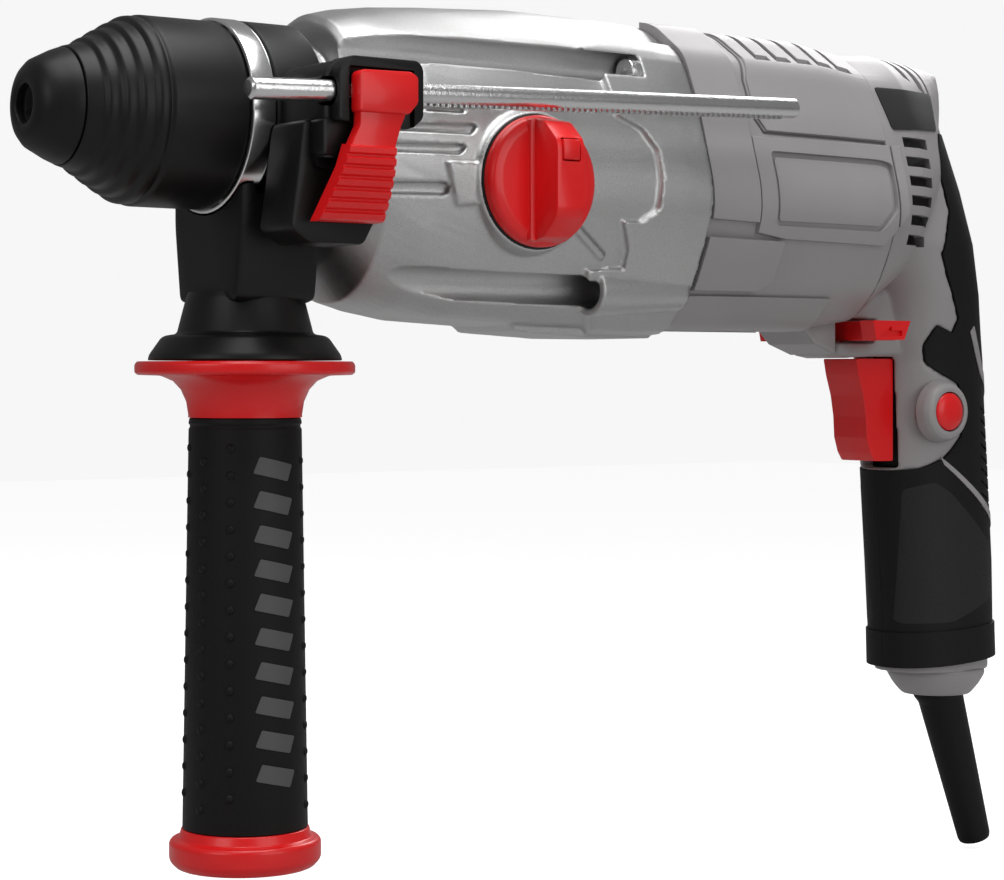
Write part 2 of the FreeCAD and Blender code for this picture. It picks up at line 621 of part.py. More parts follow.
def make_controls():
    blade = plate("trigger_blade", [
        ("trigger_front", "trigger_top"), ("trigger_front + 2.2", -78), ("trigger_front + 4.4", -90),
        ("trigger_front + 5.8", "trigger_foot"), (311, "trigger_foot"), (311, "trigger_top")],
        "2 * trigger_half")
    piece("trigger", blade)
    bar = box("lever_bar", ("lever_at - 5", -24, "lever_height - 3.2"), ("lever_at + 5", 24, "lever_height + 3.2"))
    tabs = [box("lever_tab_%d" % side, (279, min(side * 23, side * 32), "lever_height - 3.5"),
                (294, max(side * 23, side * 32), "lever_height + 3.5")) for side in (-1, 1)]
    pivot = rod("lever_pivot", 3, 7.2, "z", "lever_at", 0, "lever_height - 3.6")
    piece("reverse_lever", fuse("reverse_lever", bar, pivot, *tabs))
    button = rod("lock_button", "lock_radius", 9.8, "y", "lock_at", -22.8, "lock_height")
    piece("lock_button", button)
    disc = rod("knob_disc", "knob_radius", 3.6, "y", "knob_at", "knob_face - 3.6", "knob_axis")
    ridge = plate("knob_ridge", [
        (0, "-knob_radius + 0.4"), (-9, -14), (-12.2, -10), (-12.2, 10), (-9, 14), (0, "knob_radius - 0.4")],
        9.5, "YZ_Plane")
    put(ridge, "knob_at", "knob_face - 3.4", "knob_axis")
    hub = rod("knob_hub", 8, 9, "y", "knob_at", "knob_face - 0.5", "knob_axis")
    pin = rod("knob_pin", 2, 7, "y", "knob_at", -33.5, "knob_axis + knob_throw")
    pocket = box("knob_pocket", ("knob_at - 3.3", -60, "knob_axis + 4.7"), ("knob_at + 3.3", -50.5, "knob_axis + 11.3"))
    piece("mode_knob", cut("mode_knob", fuse("knob_body", disc, ridge, hub, pin), pocket))
    piece("knob_lock_button", box("knob_lock_button", ("knob_at - 3", -57.3, "knob_axis + 5"),
                                  ("knob_at + 3", -53, "knob_axis + 11")))
    collar = drive(doc.addObject("Part::Cylinder", "fork_arc"), Radius=12.5, Height=3.6, Angle=180)
    put(collar, 129.2, 0, "shaft_axis", ALONG_X.multiply(Rotation(Vector(0, 0, 1), 180)))
    arc = cut("fork_ring", collar, rod("fork_mouth", 8.6, 6, "x", 128, 0, "shaft_axis"))
    arm = box("fork_arm", (129.2, -30.2, "shaft_axis - 3"), (132.8, -9.5, "shaft_axis + 5"))
    card = box("fork_card", (129.2, -30.6, "shaft_axis - 2"), (143, -28.6, -6))
    slot = box("fork_slot", ("knob_at - 2.9", -33, "knob_axis - 5"), ("knob_at + 2.9", -26, "knob_axis + 7"))
    piece("shift_fork", cut("shift_fork", fuse("fork_body", arc, arm, card), slot))


# ---- side handle and depth stop ----

def make_side_handle():
    piece("clamp_band", tube("clamp_band", "neck_front + 0.2", 16, 23.2, "neck_radius + free_gap"))
    hoop = tube("bracket_hoop", "neck_front + 0.2", 16, 27, 23.2)
    block = box("bracket_block", (52, -17.5, -54), (79, 17.5, -28))
    cone = put(turned("bracket_cone", [
        (-50, 0), (-50, 16.5), (-60.8, 19), (-60.8, 23), (-68, 27), (-68, 0)], "z"), "handle_at")
    arm = box("rod_arm", (60.5, -47, -18), (79, -20, 11))
    housing = box("rod_housing", (62.5, -53, -4), (89, -44, 11.5))
    clearing = rod("arm_clearing", 23.2, 30, "x", 55)
    web = box("bracket_web", (60, -17.5, -30), (75.5, 17.5, -20))
    body = fuse("bracket_body", hoop, block, web, cone, arm, housing)
    bolt_hole = rod("bolt_hole", 5, 60, "z", "handle_at", 0, -70)
    rod_hole = rod("rod_hole", "rod_radius + free_gap", 80, "x", 40, "rod_side",
                   "rod_height + 0.1")
    rod_hole.Placement = FreeCAD.Placement(
        Vector(measure("rod_front"), measure("rod_side"), measure("rod_height")),
        Rotation(Vector(0, 1, 0), 90 - measure("rod_tilt")))
    lever_room = box("lever_room", (68, -60, -3), (88, "rod_side - rod_radius - free_gap", 10))
    piece("handle_bracket", cut("handle_bracket", body, clearing, bolt_hole, rod_hole, lever_room))
    bolt = turned("bolt_blank", [(-30, 0), (-30, 5), (-110, 5), (-110, 0)], "z")
    piece("handle_bolt", put(bolt, "handle_at"))
    core = turned("core_turning", [
        ("flange_top", 5.3), ("flange_top", 30), ("flange_top - 1", 30.9), ("flange_top - 3.5", 30.9),
        ("flange_top - 3.7", 21), ("flange_top - 8", 17), ("rubber_top + 1", 15.9), ("rubber_top + 1", 12),
        ("rubber_foot", 12), ("rubber_foot", 17.8), (-202, 18.5), (-202.6, 21.3), (-208, 21.3),
        (-210, 19.5), (-210, 0), (-116, 0), (-116, 5.3)], "z")
    piece("handle_core", put(core, "handle_at"))
    rubber = turned("rubber_turning", [
        ("rubber_top + 0.9", 12.05), ("rubber_top + 0.9", 15.7), ("rubber_foot + 0.1", 17.6),
        ("rubber_foot + 0.1", 12.05)], "z")
    piece("grip_rubber", put(rubber, "handle_at"))
    upper = box("lever_upper", (69, -56, -0.4), (87, -52.5, 9.2))
    waist = box("lever_waist", (70, -56, -9), (82, -53.4, 0))
    thumb = box("lever_thumb", (66, -56, -26), (80.5, -50.5, -7.5))
    pivot = rod("depth_lever_pivot", 1.3, 16, "x", 68.5, -54.5, -3.5)
    piece("depth_lever", fuse("depth_lever", upper, waist, thumb, pivot))
    bar = drive(doc.addObject("Part::Cylinder", "depth_rod"), Radius="rod_radius", Height="rod_length")
    put(bar, "rod_front", "rod_side", "rod_height", Rotation(Vector(0, 1, 0), 90 - measure("rod_tilt")))
    piece("depth_rod", bar)


# ---- cable entry ----

def make_cable_entry():
    gland = turned("gland_turning", [
        ("grip_foot - 0.1", 10.9), ("grip_foot - 0.1", 16.6), ("grip_foot - 3", 16.4), (-180, 13.4),
        (-182, 11.6), (-182, 10.9)], "z")
    piece("cable_gland", put(gland, "guard_at - 1"))
    guard = turned("guard_turning", [
        (6, "cable_radius"), (6, 6.5), (3, 9), (-2, 9), (-4.5, 7.8), ("-guard_length", 5.65),
        ("-guard_length", "cable_radius")], "z")
    piece("cable_guard", put(guard, "guard_at", 0, "guard_pivot",
                             Rotation(Vector(0, 1, 0), -measure("guard_lean"))))


make_tool_holder()
make_nose()
make_sleeve_spring()
make_hammer()
make_wobble()
make_gears()
make_armature()
make_stator()
make_brushes()
make_bearings()
make_gear_housing()
make_motor_housing()
make_handle()
make_handle_screws()
make_controls()
make_side_handle()
make_cable_entry()
doc.recompute()

for thing in doc.Objects:
    if {"Invalid", "Error"} & set(thing.State):
        raise RuntimeError("%s did not compute: %s" % (thing.Label, thing.State))
os.makedirs("parts", exist_ok=True)
for thing in pieces:
    if thing.Shape.isNull() or not thing.Shape.isValid() or not thing.Shape.Solids:
        raise RuntimeError("%s has no valid shape" % thing.Label)
for thing in pieces:
    thing.Shape.exportStep("parts/%s.step" % thing.Label)
print(len(pieces), "pieces written")
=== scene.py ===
# %% [markdown]
# # A rotary hammer, finished piece by piece
#
# The mechanical model gives us every part at its real size and place. This notebook gives those parts
# the look of the real tool: cast aluminium, moulded plastic, soft rubber and plated steel. Parts whose
# plain shape is already right only get a finish. The others get a new skin that rides on the same body.

# %% Load the frame
import json
import math

import bmesh
import bpy
from mathutils import Euler, Matrix, Vector


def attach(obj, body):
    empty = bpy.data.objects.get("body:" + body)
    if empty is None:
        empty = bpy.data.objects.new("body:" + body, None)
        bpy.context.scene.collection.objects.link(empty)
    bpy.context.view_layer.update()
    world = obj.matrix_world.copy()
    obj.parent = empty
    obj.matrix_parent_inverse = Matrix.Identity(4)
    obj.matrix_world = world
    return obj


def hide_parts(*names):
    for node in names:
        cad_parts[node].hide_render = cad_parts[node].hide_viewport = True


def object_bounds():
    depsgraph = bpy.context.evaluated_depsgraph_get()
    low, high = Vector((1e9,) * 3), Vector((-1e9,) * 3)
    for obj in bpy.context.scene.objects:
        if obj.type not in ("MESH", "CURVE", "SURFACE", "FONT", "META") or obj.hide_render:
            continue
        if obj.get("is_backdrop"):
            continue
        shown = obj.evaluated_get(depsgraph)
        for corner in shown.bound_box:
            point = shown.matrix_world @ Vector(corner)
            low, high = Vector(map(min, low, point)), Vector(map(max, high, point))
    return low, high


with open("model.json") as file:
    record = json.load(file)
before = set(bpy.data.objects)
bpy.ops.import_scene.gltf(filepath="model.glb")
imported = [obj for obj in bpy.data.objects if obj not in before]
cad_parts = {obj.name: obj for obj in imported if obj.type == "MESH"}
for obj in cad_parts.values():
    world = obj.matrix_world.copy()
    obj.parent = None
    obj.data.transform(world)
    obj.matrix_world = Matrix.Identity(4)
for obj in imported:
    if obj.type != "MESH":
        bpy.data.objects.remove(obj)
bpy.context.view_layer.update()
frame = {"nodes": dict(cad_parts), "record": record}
nodes = frame["nodes"]

# %% [markdown]
# ## The camera
#
# A tool like this is shown from the front left, with the nose towards us. A long lens keeps the far
# end of the tool nearly as tall as the near end. The camera is level, and its shift drops the frame so
# that the long side handle fits. Everything is in metres, with X along the spindle and Z up.

# %% Camera
MM = 0.001
VIEW_TURN = math.radians(36)
CAMERA_BACK, CAMERA_SIDE, CAMERA_LOW = 665 * MM, 124.8 * MM, -72.4 * MM
FOCAL_WIDTHS = 2.49
SENSOR = 36
FRAME_DROP = -0.0637

look = Vector((math.sin(VIEW_TURN), math.cos(VIEW_TURN), 0))
right = Vector((math.cos(VIEW_TURN), -math.sin(VIEW_TURN), 0))
camera = bpy.data.objects.new("camera", bpy.data.cameras.new("camera"))
bpy.context.scene.collection.objects.link(camera)
camera.location = right * CAMERA_SIDE - look * CAMERA_BACK + Vector((0, 0, CAMERA_LOW))
camera.rotation_euler = Euler((math.pi / 2, 0, -VIEW_TURN))
camera.data.sensor_width = SENSOR
camera.data.lens = FOCAL_WIDTHS * SENSOR
camera.data.shift_y = FRAME_DROP
camera.data.clip_start = 0.01
bpy.context.scene.camera = camera
print("camera at", [round(part, 3) for part in camera.location])

# %% [markdown]
# ## Floor and lights
#
# Product light is large and soft. A wide panel overhead gives the white rim along the tops of the
# parts, and one on the nose side draws the long highlights on the black pieces. A weak one in front
# opens the shadows, and one behind lights the rear edge. The floor and the world are pale and plain.

# %% Stage
FLOOR_GAP = 1.5 * MM


def make_floor():
    floor_bm = bmesh.new()
    bmesh.ops.create_grid(floor_bm, x_segments=1, y_segments=1, size=3)
    mesh = bpy.data.meshes.new("floor")
    floor_bm.to_mesh(mesh)
    floor_bm.free()
    mesh.transform(Matrix.Translation((0, 0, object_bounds()[0][2] - FLOOR_GAP)))
    floor = bpy.data.objects.new("floor", mesh)
    bpy.context.scene.collection.objects.link(floor)
    floor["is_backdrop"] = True
    return floor


def add_panel(name, place, aim, size, watts, spread=math.pi):
    """A square area light that looks at a point."""
    light = bpy.data.lights.new(name, "AREA")
    light.size = size
    light.energy = watts
    light.spread = spread
    holder = bpy.data.objects.new(name, light)
    holder.location = place
    holder.rotation_euler = (Vector(aim) - Vector(place)).to_track_quat("-Z", "Y").to_euler()
    bpy.context.scene.collection.objects.link(holder)


floor = make_floor()
MIDDLE = (0.15, 0, -0.05)
add_panel("overhead", (0.1, -0.2, 0.95), MIDDLE, 0.9, 10)
add_panel("nose_side", (-0.85, -0.3, 0.35), MIDDLE, 0.5, 1.6)
add_panel("front_fill", (0.3, -1.2, 0.25), MIDDLE, 0.8, 3)
add_panel("rear_rim", (0.9, 0.4, 0.5), MIDDLE, 0.5, 4)
world = bpy.data.worlds.new("studio")
world.use_nodes = True
backdrop = world.node_tree.nodes.new("ShaderNodeMix")
backdrop.data_type = "RGBA"
backdrop.inputs[6].default_value = (0.2, 0.2, 0.2, 1)
backdrop.inputs[7].default_value = (0.93, 0.93, 0.93, 1)
seen = world.node_tree.nodes.new("ShaderNodeLightPath")
world.node_tree.links.new(seen.outputs["Is Camera Ray"], backdrop.inputs[0])
world.node_tree.links.new(backdrop.outputs[2], world.node_tree.nodes["Background"].inputs["Color"])
bpy.context.scene.world = world
bpy.context.scene.view_settings.view_transform = "Standard"

# %% [markdown]
# ## Writing shaders as sums
#
# A finish is a small formula: noise times a strength, plus a base value. `Socket` wraps one output of
# a node, and its operators add Math nodes, so a mask can be written as `1 - noise * 0.4`. `Finish`
# holds the material and has the one method that makes any other node.

# %% Socket and Finish


class Socket:
    """One node output that can be used in sums."""

    def __init__(self, finish, output):
        self.finish = finish
        self.output = output

    def math(self, operation, first, second):
        node = self.finish.node("ShaderNodeMath", {"operation": operation}, {0: first, 1: second})
        return node.out(0)

    def __add__(self, other):
        return self.math("ADD", self, other)

    def __radd__(self, other):
        return self.math("ADD", other, self)

    def __sub__(self, other):
        return self.math("SUBTRACT", self, other)

    def __rsub__(self, other):
        return self.math("SUBTRACT", other, self)

    def __mul__(self, other):
        return self.math("MULTIPLY", self, other)

    def __rmul__(self, other):
        return self.math("MULTIPLY", other, self)

    def __gt__(self, other):
        return self.math("GREATER_THAN", self, other)


class Made:
    """A node that has been added to a finish."""

    def __init__(self, finish, node):
        self.finish = finish
        self.node = node

    def out(self, name):
        return Socket(self.finish, self.node.outputs[name])


class Finish:
    """A material and the nodes that make it."""

    def __init__(self, name):
        self.material = bpy.data.materials.new(name)
        self.material.use_nodes = True
        self.tree = self.material.node_tree
        self.shader = self.tree.nodes["Principled BSDF"]

    def node(self, kind, settings=None, values=None):
        node = self.tree.nodes.new(kind)
        for key, value in (settings or {}).items():
            if key == "stops":
                ramp = node.color_ramp
                for index, (place, colour) in enumerate(value):
                    stop = ramp.elements[index] if index < 2 else ramp.elements.new(place)
                    stop.position = place
                    stop.color = colour
            else:
                setattr(node, key, value)
        for key, value in (values or {}).items():
            self.feed(node.inputs[key], value)
        return Made(self, node)

    def feed(self, target, value):
        if isinstance(value, Socket):
            self.tree.links.new(value.output, target)
        else:
            target.default_value = value

    def set(self, **values):
        """Sets or links inputs of the shader: Base_Color=..., Roughness=..."""
        for key, value in values.items():
            self.feed(self.shader.inputs[key.replace("_", " ")], value)
        return self

    def spot(self):
        """The place on the object, in metres."""
        return self.node("ShaderNodeTexCoord").out("Object")

    def noise(self, per_mm, detail=2, rough=0.5):
        """Noise from 0 to 1 whose grains are about 1 / per_mm across."""
        return self.node("ShaderNodeTexNoise", {}, {
            "Vector": self.spot(), "Scale": per_mm * 1000, "Detail": detail, "Roughness": rough}).out("Fac")

    def tint(self, amount, first, second):
        """A colour between two, by an amount from 0 to 1."""
        mix = self.node("ShaderNodeMix", {"data_type": "RGBA"})
        self.feed(mix.node.inputs[0], amount)
        self.feed(mix.node.inputs[6], first)
        self.feed(mix.node.inputs[7], second)
        return Socket(self, mix.node.outputs[2])

    def bump(self, height, depth_mm, strength=1.0):
        return self.node("ShaderNodeBump", {}, {
            "Height": height, "Distance": depth_mm * MM, "Strength": strength}).out("Normal")


def grey(level, alpha=1):
    return (level, level, level, alpha)


# %% [markdown]
# ## Moulded plastic and rubber
#
# Spark-eroded moulds leave a very fine grain, so a black or grey moulding isn't a mirror: its highlight
# is broad. One function makes them all. A fine noise gives the grain, and a slow noise varies the gloss
# as handling does. Rubber has more grain and less gloss.

# %% Plastic and rubber


def moulded(name, colour, roughness, grain_per_mm=3.0, grain_depth=0.02, vary=0.08, coat=0.0, spec=0.5,
            edge=0.0):
    finish = Finish(name)
    slow = finish.noise(0.03, 3)
    fine = finish.noise(grain_per_mm, 2)
    darker = tuple(part * 0.86 for part in colour[:3]) + (1,)
    grain = {"Height": fine, "Distance": grain_depth * MM}
    if edge:
        grain["Normal"] = finish.node("ShaderNodeBevel", {"samples": 4}, {"Radius": edge * MM}).out("Normal")
    finish.set(Base_Color=finish.tint(slow, darker, colour),
               Roughness=slow * vary + (roughness - vary / 2),
               Normal=finish.node("ShaderNodeBump", {}, grain).out("Normal"))
    finish.set(Coat_Weight=coat, Specular_IOR_Level=spec)
    return finish.material


BLACK_PLASTIC = moulded("black_plastic", grey(0.006), 0.4, spec=0.32)
BLACK_RUBBER = moulded("black_rubber", grey(0.0055), 0.56, 2.2, 0.05, 0.1, spec=0.25)
NOSE_RUBBER = moulded("nose_rubber", grey(0.005), 0.42, 2.6, 0.03, spec=0.3)
BAR_RUBBER = moulded("bar_rubber", grey(0.09), 0.5, 2.2, 0.03)
LEATHER_GRAIN = moulded("leather_grain", grey(0.018), 0.6, 1.1, 0.16, 0.1, spec=0.3)
GREY_PLASTIC = moulded("grey_plastic", (0.375, 0.36, 0.364, 1), 0.43, 3.2, 0.015, 0.06)
DARK_INLAY = moulded("dark_inlay", grey(0.02), 0.42, 3.0, 0.02)
RED_PLASTIC = moulded("red_plastic", (0.93, 0.008, 0.010, 1), 0.33, 3.0, 0.008, 0.06, coat=0.15)

# %% [markdown]
# ### Soft edges in the shading
#
# The grey motor casing keeps crisp edges in its mesh. A real moulding has a tiny round there that
# catches the light, so its finish bends the normals near each edge with a Bevel node.

# %% Grey plastic with soft edges
GREY_SOFT_EDGE = moulded("grey_soft_edge", (0.375, 0.36, 0.364, 1), 0.43, 3.2, 0.015, 0.06, edge=0.45)

# %% [markdown]
# ### The floor's finish
#
# The floor is plain and matt. It glows a little for the camera only, so it looks white without throwing
# light on the tool.

# %% Pale floor
pale_floor = Finish("pale_floor")
seen_by_camera = pale_floor.node("ShaderNodeLightPath").out("Is Camera Ray")
pale_floor.set(Base_Color=pale_floor.tint(pale_floor.noise(0.004), grey(0.40), grey(0.42)), Roughness=0.9,
               Emission_Color=pale_floor.tint(seen_by_camera, grey(0.0), grey(0.86)), Emission_Strength=1.0)
floor.data.materials.append(pale_floor.material)

# %% [markdown]
# ## Metals
#
# The gear housing is cast aluminium that has been blasted with beads: bright, even and full of tiny
# pits that sparkle. The ring behind the lock sleeve is nickel plate, almost a mirror. The depth rod is
# zinc plated and hammered by knurling rolls. Inner steel parts are ground.

# %% Metals


def metal(name, colour, roughness, grain_per_mm=1.5, grain_depth=0.02, speckle=0.0, vary=0.1):
    finish = Finish(name)
    slow = finish.noise(0.04, 3)
    fine = finish.noise(grain_per_mm, 3, 0.7)
    darker = tuple(part * (1 - speckle) for part in colour[:3]) + (1,)
    finish.set(Base_Color=finish.tint(fine, darker, colour),
               Roughness=slow * vary + (roughness - vary / 2),
               Normal=finish.bump(fine, grain_depth))
    finish.set(Metallic=1.0)
    return finish.material


BLASTED_ALUMINIUM = metal("blasted_aluminium", grey(0.72), 0.37, 2.6, 0.1, 0.45)
NICKEL = metal("nickel", grey(0.92), 0.2, 0.5, 0.002, 0.03, 0.04)
ZINC = metal("zinc", grey(0.8), 0.24, 0.7, 0.12, 0.15)
STEEL = metal("steel", grey(0.55), 0.32, 1.0, 0.01, 0.1)
COPPER = metal("copper", (0.75, 0.32, 0.16, 1), 0.35, 1.0, 0.02, 0.15)
CARBON = moulded("carbon", grey(0.02), 0.7)

# %% [markdown]
# ## A finish for every frame part
#
# Each part from the frame gets the finish of its material slot. The parts that are replaced later are
# covered here too, which costs nothing.

# %% Finishes of the frame parts
SLOT_FINISH = {
    "cast_aluminium": BLASTED_ALUMINIUM,
    "grey_plastic": GREY_PLASTIC,
    "black_plastic": BLACK_PLASTIC,
    "black_rubber": BLACK_RUBBER,
    "red_plastic": RED_PLASTIC,
    "bright_steel": NICKEL,
    "steel": STEEL,
    "zinc_steel": ZINC,
    "copper": COPPER,
    "carbon": CARBON,
}
for part in frame["record"]["subparts"]:
    mesh = nodes[part["node"]].data
    mesh.materials.clear()
    mesh.materials.append(SLOT_FINISH[part["material_slot"]])

# %% [markdown]
# ## Tools for shaping
#
# All shapes are drawn in millimetres in a bmesh, which is Blender's own mesh workbench, and are only
# scaled to metres when they become a piece. Turned parts are an outline that is spun, flat parts are an
# outline that is extruded, and long casings are rings that are bridged. It saves work to write each of
# these once, so that a later cell only gives sizes.

# %% From bmesh to piece


def as_object(bm, name):
    """A scene object with the bmesh's faces, which frees the bmesh."""
    mesh = bpy.data.meshes.new(name)
    bm.to_mesh(mesh)
    bm.free()
    obj = bpy.data.objects.new(name, mesh)
    bpy.context.scene.collection.objects.link(obj)
    return obj


def piece(name, bm, finish, body, slot, *stands_for, sharp=40):
    """Makes the bmesh a finished piece that rides on a body."""
    bmesh.ops.remove_doubles(bm, verts=bm.verts, dist=0.002)
    bmesh.ops.recalc_face_normals(bm, faces=bm.faces)
    bmesh.ops.scale(bm, vec=(MM, MM, MM), verts=bm.verts)
    obj = as_object(bm, name)
    obj.data.materials.append(finish)
    obj.data.shade_smooth()
    obj.data.set_sharp_from_angle(angle=math.radians(sharp))
    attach(obj, body)
    if stands_for:
        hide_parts(*stands_for)
    print(name, len(obj.data.polygons), "faces")
    return obj


def soften(obj, width, segments=2, angle=35):
    """Rounds the edges of a piece. The width is in millimetres."""
    bevel = obj.modifiers.new("soft_edges", "BEVEL")
    bevel.width = width * MM
    bevel.segments = segments
    bevel.limit_method = "ANGLE"
    bevel.angle_limit = math.radians(angle)
    bevel.harden_normals = True
    return obj


def joined(*shapes):
    """All the shapes in one bmesh, without cutting them."""
    whole = bmesh.new()
    for shape in shapes:
        mesh = bpy.data.meshes.new("part")
        shape.to_mesh(mesh)
        shape.free()
        whole.from_mesh(mesh)
        bpy.data.meshes.remove(mesh)
    return whole


# %% [markdown]
# ### Cutting and joining
#
# Holes, slots and pockets are cut with the Boolean modifier, which is run on helper objects that are
# thrown away afterwards. A casting has no sharp inner corners, so its shape can also be remade from
# small voxels and smoothed, which turns each corner into a soft fillet.

# %% Booleans


def baked(obj):
    """A bmesh of the object with its modifiers done, which removes the object."""
    graph = bpy.context.evaluated_depsgraph_get()
    mesh = bpy.data.meshes.new_from_object(obj.evaluated_get(graph))
    shape = bmesh.new()
    shape.from_mesh(mesh)
    bpy.data.meshes.remove(mesh)
    bpy.data.objects.remove(obj)
    return shape


def plus(shape):
    """The step that joins a shape on."""
    return "UNION", shape


def cut(shape):
    """The step that cuts a shape away."""
    return "DIFFERENCE", shape


def within(shape):
    """The step that keeps only what lies inside a shape."""
    return "INTERSECT", shape


def combined(base, *steps):
    """The base after each step, which is a plus, a cut or a within."""
    body = as_object(base, "body")
    tools = []
    for operation, shape in steps:
        bmesh.ops.remove_doubles(shape, verts=shape.verts, dist=0.001)
        bmesh.ops.recalc_face_normals(shape, faces=shape.faces)
        tool = as_object(shape, "tool")
        modifier = body.modifiers.new("step", "BOOLEAN")
        modifier.operation = operation
        modifier.solver = "EXACT"
        modifier.object = tool
        tools.append(tool)
    result = baked(body)
    for tool in tools:
        bpy.data.objects.remove(tool)
    return result


def cast(shape, voxel, smoothing, keep):
    """The shape remade from voxels, smoothed and thinned to a share of its faces."""
    body = as_object(shape, "casting")
    remesh = body.modifiers.new("voxels", "REMESH")
    remesh.mode = "VOXEL"
    remesh.voxel_size = voxel
    smooth = body.modifiers.new("smooth", "SMOOTH")
    smooth.factor = 0.5
    smooth.iterations = smoothing
    thin = body.modifiers.new("thin", "DECIMATE")
    thin.ratio = keep
    return baked(body)


# %% [markdown]
# ### Basic shapes
#
# A block is a cube that is scaled and bevelled. A drum is a cone with two radii. `turned` spins an
# outline: each corner is a place along the axis, a radius and, if it is rounded, the size of the round.

# %% Blocks, drums and turned shapes
TO_AXIS = {
    "x": Matrix.Rotation(math.pi / 2, 3, "Y"),
    "y": Matrix.Rotation(-math.pi / 2, 3, "X"),
    "z": Matrix.Identity(3),
}


def rounded(bm, edges, by, segments=3):
    bmesh.ops.bevel(bm, geom=list(edges), offset=by, offset_type="OFFSET", segments=segments, profile=0.5,
                    affect="EDGES", clamp_overlap=True, material=-1)


def block(low, high, by=0.0, segments=2):
    bm = bmesh.new()
    bmesh.ops.create_cube(bm, size=1)
    size = [top - bottom for bottom, top in zip(low, high)]
    bmesh.ops.scale(bm, vec=size, verts=bm.verts)
    bmesh.ops.translate(bm, vec=[(a + b) / 2 for a, b in zip(low, high)], verts=bm.verts)
    if by:
        rounded(bm, bm.edges, by, segments)
    return bm


def moved(bm, turn=None, place=(0, 0, 0)):
    """The shape after a turn about the origin and a shift."""
    if turn is not None:
        bmesh.ops.rotate(bm, cent=(0, 0, 0), matrix=turn, verts=bm.verts)
    bmesh.ops.translate(bm, vec=place, verts=bm.verts)
    return bm


def drum(axis, start, length, radius, centre=(0, 0), end_radius=None, sides=48):
    """A cylinder or cone along an axis, from a start. The centre is the other two coordinates in order."""
    bm = bmesh.new()
    bmesh.ops.create_cone(bm, cap_ends=True, segments=sides, radius1=radius,
                          radius2=radius if end_radius is None else end_radius, depth=length)
    place = list(centre)
    place.insert("xyz".index(axis), start + length / 2)
    return moved(bm, TO_AXIS[axis], place)


def turned(corners, axis="x", centre=(0, 0, 0), steps=96):
    """An outline spun about an axis through a centre."""
    bm = bmesh.new()
    spots = [bm.verts.new((corner[1], 0, corner[0])) for corner in corners]
    chain = [bm.edges.new(pair) for pair in zip(spots, spots[1:])]
    if corners[0][1] > 0 and corners[-1][1] > 0:
        chain.append(bm.edges.new((spots[-1], spots[0])))
    bmesh.ops.spin(bm, geom=spots + chain, cent=(0, 0, 0), axis=(0, 0, 1), angle=2 * math.pi, steps=steps,
                   use_merge=True)
    bmesh.ops.remove_doubles(bm, verts=bm.verts, dist=0.0005)
    for corner in corners:
        if len(corner) > 2:
            along, radius, by = corner
            rim = [edge for edge in bm.edges
                   if all(abs(vert.co.z - along) < 0.002 and abs(vert.co.xy.length - radius) < 0.002
                          for vert in edge.verts)]
            rounded(bm, rim, by)
    bmesh.ops.recalc_face_normals(bm, faces=bm.faces)
    return moved(bm, TO_AXIS[axis], centre)


# %% [markdown]
# ### Plates and casings
#
# A plate is one face that is extruded. A casing is a row of rings: each ring starts as a circle whose
# points are moved out to an outline, and neighbouring rings are bridged. The outline is given by the
# corners of its left half, and its corners are softened by averaging the reach over nearby angles.

# %% Plates and casings
PLANES = {"xz": (0, 2, 1), "xy": (0, 1, 2), "yz": (1, 2, 0)}


def plate(corners, low, high, plane="xz", by=0.0, rim=0.0, segments=4):
    """A flat outline extruded from low to high. The outline's corners are rounded first, then its rims."""
    first, second, across = PLANES[plane]
    bm = bmesh.new()
    spots = []
    for corner in corners:
        spot = [0, 0, 0]
        spot[first], spot[second], spot[across] = corner[0], corner[1], low
        spots.append(bm.verts.new(spot))
    face = bm.faces.new(spots)
    top = bmesh.ops.extrude_face_region(bm, geom=[face])["geom"]
    shift = [0, 0, 0]
    shift[across] = high - low
    bmesh.ops.translate(bm, vec=shift, verts=[item for item in top if isinstance(item, bmesh.types.BMVert)])
    bmesh.ops.recalc_face_normals(bm, faces=bm.faces)
    if by:
        sides = [edge for edge in bm.edges if abs(edge.verts[0].co[across] - edge.verts[1].co[across]) > 1e-4]
        rounded(bm, sides, by, segments)
    if rim:
        rims = [edge for edge in bm.edges
                if abs(edge.verts[0].co[across] - edge.verts[1].co[across]) < 1e-4]
        rounded(bm, rims, rim, 2)
    return bm


def reach(outline, angle):
    """How far an outline lies from (0, 0) in a direction, where angle 0 is up and turns to the left."""
    across, up = math.sin(angle), math.cos(angle)
    best = 0
    for (a_across, a_up), (b_across, b_up) in zip(outline, outline[1:] + outline[:1]):
        side_across, side_up = b_across - a_across, b_up - a_up
        spread = across * side_up - up * side_across
        if abs(spread) < 1e-9:
            continue
        along = (a_across * side_up - a_up * side_across) / spread
        share = (a_across * up - a_up * across) / spread
        if along > 0 and -1e-9 <= share <= 1 + 1e-9:
            best = max(best, along)
    return best


